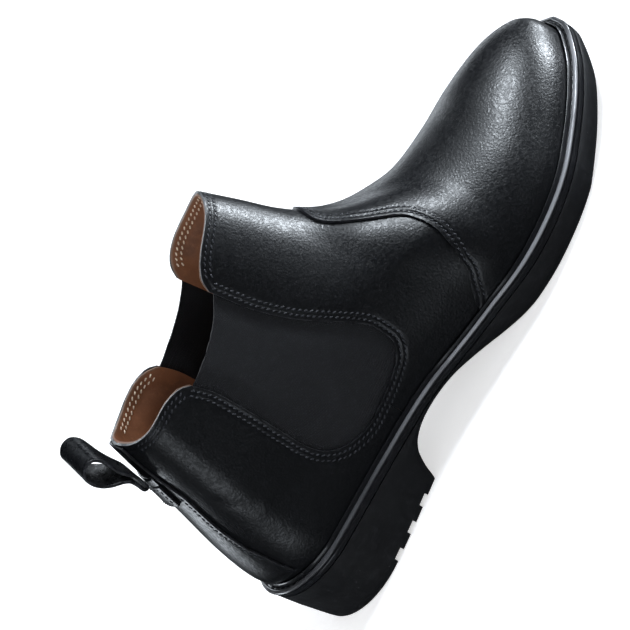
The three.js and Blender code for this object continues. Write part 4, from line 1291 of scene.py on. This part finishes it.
class BOOT_OT_sole(bpy.types.Operator):
    """Build the moulded sole with its heel block, arch and tread cuts"""

    bl_idname = "boot.sole"
    bl_label = "Sole"

    BREAST = 82  # the heel block's front face
    WAIST = ((0.03, 0.0), (0.18, 0.04), (0.35, 0.12), (0.55, 0.36), (0.75, 0.6), (0.88, 0.78))
    LUGS = (44, 57.5, 71)  # cuts across the heel
    GROOVES = (178, 190, 202, 214, 226, 238)  # cuts across the tread

    def execute(self, context):
        _, looks = settings(context)
        rubber = sole_rubber("sole rubber", looks, 0.58)
        piece = self.block(rubber)
        for x in self.LUGS:
            self.cut(piece, (x - 3, x + 3), (-80, 80), (-5, 2.6))
        for x in self.GROOVES:
            self.cut(piece, (x - 2, x + 2), (-34, 30), (-5, max(float(self.ground(x)), -1) + 2))
        self.cut(piece, (22, 72), (-22, 22), (8, 60))
        round_rim(piece, 0.0006, 2, 40)
        declare(piece, ["outsole"])
        return {"FINISHED"}

    def ground(self, x):
        """The height of the sole's underside along the boot."""
        arch = [(-4, 0), (0, 0), (4, 7.5), (9, 14), (18, 18), (30, 18.5)]
        return curve([
            *[(self.BREAST + ahead, z) for ahead, z in arch],
            (128, 16), (142, 11), (155, 5.4), (168, 1), (184, -0.6), (205, -1),
            (224, -0.6), (240, 0.8), (260, 3.2), (280, 6.4), (TOE_X, 10.5),
        ])(x)

    def block(self, rubber):
        half = np.linspace(0.012, pi - 0.012, 260)
        by_breast = np.arccos(1 - 2 * (np.linspace(74, 100, 30) - HEEL_X) / FEATHER_RUN)
        half = np.sort(np.concatenate([half, by_breast]))
        turns = np.concatenate([half, 2 * pi - half[::-1]])
        x = feather_x(turns)
        low = np.where(x < self.BREAST, 0, np.maximum(self.ground(x), 0))
        top = seat_z(turns) - 4.8
        inset = curve([(HEEL_X, 1.8), (60, 2), (90, 4), (150, 5), (230, 5.5), (TOE_X, 6)])(x)
        rows = [(4.4, top), (4.9, top - 0.15)]
        for share, pull in self.WAIST:
            rows.append((5 - pull * inset, top - share * (top - low)))
        rows += [(5 - inset, low + 0.9), (4.7 - inset, low + 0.3), (4.1 - inset, low)]
        rings = np.stack([rim_place(turns, *row) for row in rows], 1)
        count, sides = rings.shape[:2]
        ids = np.arange(count * sides).reshape(count, sides)
        ahead = np.roll(ids, -1, 0)
        faces = np.stack([ids[:, :-1], ids[:, 1:], ahead[:, 1:], ahead[:, :-1]], -1).reshape(-1, 4).tolist()
        for column, order in ((0, 1), (sides - 1, -1)):
            for i in range(count // 2 - 1):
                corners = [i, i + 1, count - 2 - i, count - 1 - i]
                faces.append(ids[corners, column][::order])
        piece = new_object("sole_rubber", place(rings.reshape(-1, 3)), faces, rubber)
        rework(piece, face_out)
        return piece

    def cut(self, piece, xs, ys, zs):
        """Takes a box out of a piece, as part of its mesh."""
        corners = place([(x, y, z) for x in xs for y in ys for z in zs])
        faces = [(0, 1, 3, 2), (4, 6, 7, 5), (0, 4, 5, 1), (2, 3, 7, 6), (0, 2, 6, 4), (1, 5, 7, 3)]
        tool = new_object("tool", corners, faces, piece.data.materials[0], smooth=False)
        bite = piece.modifiers.new("Cut", "BOOLEAN")
        bite.operation, bite.solver, bite.object = "DIFFERENCE", "EXACT", tool
        graph = bpy.context.evaluated_depsgraph_get()
        done = bpy.data.meshes.new_from_object(piece.evaluated_get(graph))
        piece.modifiers.clear()
        if len(done.polygons) <= 6:
            raise RuntimeError("the sole was lost in a cut")
        piece.data = done
        bpy.data.objects.remove(tool)


class BOOT_OT_pull_loop(bpy.types.Operator):
    """Build the pull loop and the sewn tab that holds it to the back strip"""

    bl_idname = "boot.pull_loop"
    bl_label = "Pull loop"

    def execute(self, context):
        sizes, looks = settings(context)
        leather = upper_leather("loop leather", looks, gloss=0.06)
        black = sewing_thread("loop thread", tuple(looks.thread))
        lift = flat_lift(STRIP_TOP + TUCK + TAB_PLIES)
        edge, nodes = 0.0004, ["loop_tab"]
        sheet_piece("loop_tab_leather", [tab_grid()], lift, sizes.webbing, edge, leather, nodes)
        self.anchor(leather)
        self.band(sizes, leather)
        self.sew(sizes, black, lift)
        return {"FINISHED"}

    def anchor(self, leather):
        """The thin ply that comes up from under the tab to the foot of the loop."""
        low, high = locate(TAB_EDGE)
        side = np.array([low + share * (high - low) for share in (0.8, 1.4)]) * (0.97, 1)
        u, v = np.linspace(0, 1, 25), np.linspace(0, 1, 9)
        grid = strip_grid(side, (0, side[0, 1]), (0, side[1, 1]), u, v)
        thickness, edge = 0.0008, 0.0003
        lift = flat_lift(STRIP_TOP + TUCK + PLY)
        sheet_piece("loop_anchor_leather", [grid], lift, thickness, edge, leather, [])

    def band(self, sizes, leather):
        """The free loop: a closed band with fuller, rounded edges that leans to one side as it rises."""
        half_width, half, corner = LOOP_WIDTH / 2, sizes.webbing * 500, 0.7
        path = ring_path(LOOP_LINE)
        path = np.vstack([path, path[:1]])
        run = run_along(path)
        at = np.linspace(0, run[-1], 220, endpoint=False)
        x, z = (np.interp(at, run, path[:, c]) for c in (0, 1))
        line = np.stack([x, np.zeros(len(x)), z], -1)
        tangent = unit(np.roll(line, -1, 0) - np.roll(line, 1, 0))
        lean = ease(z, *LEAN_FROM_TO)
        ahead, aside, upwards = LOOP_LEAN
        across = unit(np.stack([ahead * lean, np.full(len(z), aside), upwards * lean], -1))
        out = unit(np.cross(tangent, across))
        ys = np.linspace(corner - half_width, half_width - corner, 15)
        fuller = half * (0.86 + 0.14 * (np.abs(ys) / half_width) ** 6)
        angles = np.linspace(0.3, pi - 0.3, 6)
        rim = [(half_width - corner + corner * sin(a), half * cos(a)) for a in angles]
        side = np.array([*zip(ys, fuller), *rim])
        section = np.vstack([side, -side])
        rings = line[:, None] + section[None, :, :1] * across[:, None] + section[None, :, 1:] * out[:, None]
        piece = tube("pull_loop_leather", rings, leather)
        point_values(piece, "edge_mm", np.tile(half_width - np.abs(section[:, 0]), len(line)))
        declare(piece, ["pull_loop"], body="loop")

    def sew(self, sizes, black, lift):
        """Rows across the tab's top and bottom and down its sides."""
        low, high = locate(TAB_EDGE)
        lines = []
        for share in (0.12, 0.88):
            edge = low + share * (high - low)
            lines.append([edge * (-0.82, 1), (0, edge[1]), edge * (0.82, 1)])
        for sign in (-0.85, 0.85):
            lines.append([(low + share * (high - low)) * (sign, 1) for share in (0.16, 0.84)])
        rows = [row_on(line, lift, BOOT_OT_stitching.OVER, 60) for line in lines]
        stitches("loop_tab_stitches", rows, black, [], stitch_dims(sizes), radians(9))


class BOOT_OT_inner_parts(bpy.types.Operator):
    """Give the fixed inner parts, from the toe puff to the heel nails, their materials"""

    bl_idname = "boot.inner_parts"
    bl_label = "Inner parts"

    def execute(self, context):
        board = pressed_board("fibre board", (0.38, 0.25, 0.13))
        finishes = {
            "toe_puff": pressed_board("toe puff", (0.45, 0.4, 0.33)),
            "heel_counter": pressed_board("heel counter", (0.4, 0.3, 0.2)),
            "insole_board": board,
            "heel_core": board,
            "heel_pad": foam_pad("latex foam", (0.62, 0.55, 0.4)),
            "bottom_filler": cork_crumb("cork", (0.32, 0.15, 0.05)),
            "shank": drawn_metal("spring steel", (0.5, 0.5, 0.52), 0.35),
        }
        brass = drawn_metal("brass", (0.6, 0.42, 0.14), 0.4)
        finishes.update({f"heel_nail_{i}": brass for i in range(1, 6)})
        for node, material in finishes.items():
            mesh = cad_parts[node].data
            mesh.materials.clear()
            mesh.materials.append(material)
        return {"FINISHED"}


class BOOT_OT_stage(bpy.types.Operator):
    """Set up the pale floor, the soft lights and the camera"""

    bl_idname = "boot.stage"
    bl_label = "Stage"

    # name, azimuth and height of the direction in degrees, distance and sides in metres, power in watts
    LIGHTS = (
        ("front box", -1, 3, 1.4, 0.37, 0.26, 18),
        ("toe box", 19, -6, 0.62, 0.07, 0.07, 0.7),
        ("crest box", -4, 48, 1.7, 0.38, 0.38, 21),
        ("crest tail", 24, 61, 1.8, 0.8, 0.7, 1.6),
        ("heel box", 150, 0, 1.4, 0.5, 0.5, 5),
        ("far wall", 88, 22, 2.4, 1.0, 0.6, 10),
        ("far rim", 84, 1, 2.4, 3.2, 0.45, 11),
        ("front fill", -42, 10, 2.6, 1.4, 1.1, 1.6),
        ("near fill", -132, 3, 3.0, 1.6, 1.2, 13),
    )
    COOL = (0.86, 0.93, 1)  # the lights' colour
    WORLD = (0.75, 0.85, 1, 1), 0.012  # colour and strength
    LENS, SENSOR = 109.94, 36  # millimetres
    VIEW = (-3.4, 22.5, -63.1)  # azimuth, elevation and roll in degrees
    TARGET = (150, 0, 75)  # on the last, in millimetres
    DISTANCE = 0.886  # from the target, in metres
    OFF_CENTRE = (0.0108, 0.02495)  # how far the camera then turns aside and up

    def execute(self, context):
        _, looks = settings(context)
        self.floor(looks)
        low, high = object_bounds()
        aim = (low + high) / 2
        for light in self.LIGHTS:
            self.softbox(aim, *light)
        world = bpy.data.worlds.new("studio")
        context.scene.world = world
        world.use_nodes = True
        for socket, value in zip(("Color", "Strength"), self.WORLD):
            world.node_tree.nodes["Background"].inputs[socket].default_value = value
        context.scene.view_settings.view_transform = "Standard"
        self.camera(context)
        return {"FINISHED"}

    def floor(self, looks):
        """A round floor that sweeps up into a pale wall on every side."""
        flat, sweep, wall, sides = 3.0, 1.5, 4.0, 96
        profile = [(r, 0.0) for r in (0.5, 1.0, 2.0, flat)]
        profile += [(flat + sweep * sin(a), sweep * (1 - cos(a))) for a in np.linspace(0, pi / 2, 13)[1:]]
        profile.append((flat + sweep, wall))
        angles = np.linspace(0, 2 * pi, sides, endpoint=False)
        points = [(r * cos(a), r * sin(a), z) for r, z in profile for a in angles] + [(0, 0, 0)]
        faces = [(len(points) - 1, k, (k + 1) % sides) for k in range(sides)]
        for i in range(len(profile) - 1):
            for k in range(sides):
                a, b = i * sides + k, i * sides + (k + 1) % sides
                faces.append((a, a + sides, b + sides, b))
        floor = new_object("studio_floor", points, faces, studio_floor("studio floor", looks))
        floor.visible_glossy = False
        floor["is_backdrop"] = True

    def softbox(self, aim, name, azimuth, elevation, distance, width, height, power):
        light = bpy.data.lights.new(name, "AREA")
        light.shape, light.size, light.size_y, light.energy = "RECTANGLE", width, height, power
        light.color = self.COOL
        lamp = bpy.data.objects.new(name, light)
        bpy.context.scene.collection.objects.link(lamp)
        a, e = radians(azimuth), radians(elevation)
        back = Vector((cos(a) * cos(e), sin(a) * cos(e), sin(e)))
        lamp.location = aim + back * distance
        lamp.rotation_mode = "QUATERNION"
        lamp.rotation_quaternion = (-back).to_track_quat("-Z", "Y")
        lamp.visible_camera = False

    def camera(self, context):
        """The camera looks down at the outer side from slightly behind, rolled so that the toe points up."""
        data = bpy.data.cameras.new("camera")
        data.lens, data.sensor_width = self.LENS, self.SENSOR
        data.clip_start, data.clip_end = 0.01, 50
        camera = bpy.data.objects.new("camera", data)
        context.scene.collection.objects.link(camera)
        azimuth, elevation, roll = (radians(angle) for angle in self.VIEW)
        back = Vector((sin(azimuth) * cos(elevation), -cos(azimuth) * cos(elevation), sin(elevation)))
        eye = Vector(place(self.TARGET)) + back * self.DISTANCE
        right = Vector((cos(azimuth), sin(azimuth), 0))
        up = back.cross(right)
        view_x = right * cos(roll) + up * sin(roll)
        view_y = up * cos(roll) - right * sin(roll)
        aside, upwards = self.OFF_CENTRE
        back = (back + view_x * aside + view_y * upwards).normalized()
        view_x = (view_x - back * view_x.dot(back)).normalized()
        view_y = back.cross(view_x)
        turn = Matrix((view_x, view_y, back)).transposed().to_4x4()
        camera.matrix_world = Matrix.Translation(eye) @ turn
        context.scene.camera = camera


class BOOT_PT_panel(bpy.types.Panel):
    """The boot's sizes, colours and builders"""

    bl_label = "Chelsea Boot"
    bl_idname = "BOOT_PT_panel"
    bl_space_type = "VIEW_3D"
    bl_region_type = "UI"
    bl_category = "Boot"

    def draw(self, context):
        for group in settings(context):
            box = self.layout.box()
            for name in group.__annotations__:
                box.prop(group, name)
        column = self.layout.column()
        for operator in OPERATORS:
            column.operator(operator.bl_idname)


OPERATORS = (
    BOOT_OT_vamp, BOOT_OT_quarters, BOOT_OT_gores, BOOT_OT_back_strip, BOOT_OT_linings, BOOT_OT_stitching,
    BOOT_OT_welt, BOOT_OT_sole, BOOT_OT_pull_loop, BOOT_OT_inner_parts, BOOT_OT_stage,
)
CLASSES = (BootSizes, BootLooks, *OPERATORS, BOOT_PT_panel)


def register():
    for made in CLASSES:
        bpy.utils.register_class(made)
    bpy.types.Scene.boot_sizes = PointerProperty(type=BootSizes)
    bpy.types.Scene.boot_looks = PointerProperty(type=BootLooks)


def unregister():
    del bpy.types.Scene.boot_looks
    del bpy.types.Scene.boot_sizes
    for made in reversed(CLASSES):
        bpy.utils.unregister_class(made)


def main():
    register()
    for operator in OPERATORS:
        family, name = operator.bl_idname.split(".")
        result = getattr(getattr(bpy.ops, family), name)()
        if result != {"FINISHED"}:
            raise RuntimeError(f"{operator.bl_label} did not finish")


if __name__ == "__main__":
    main()
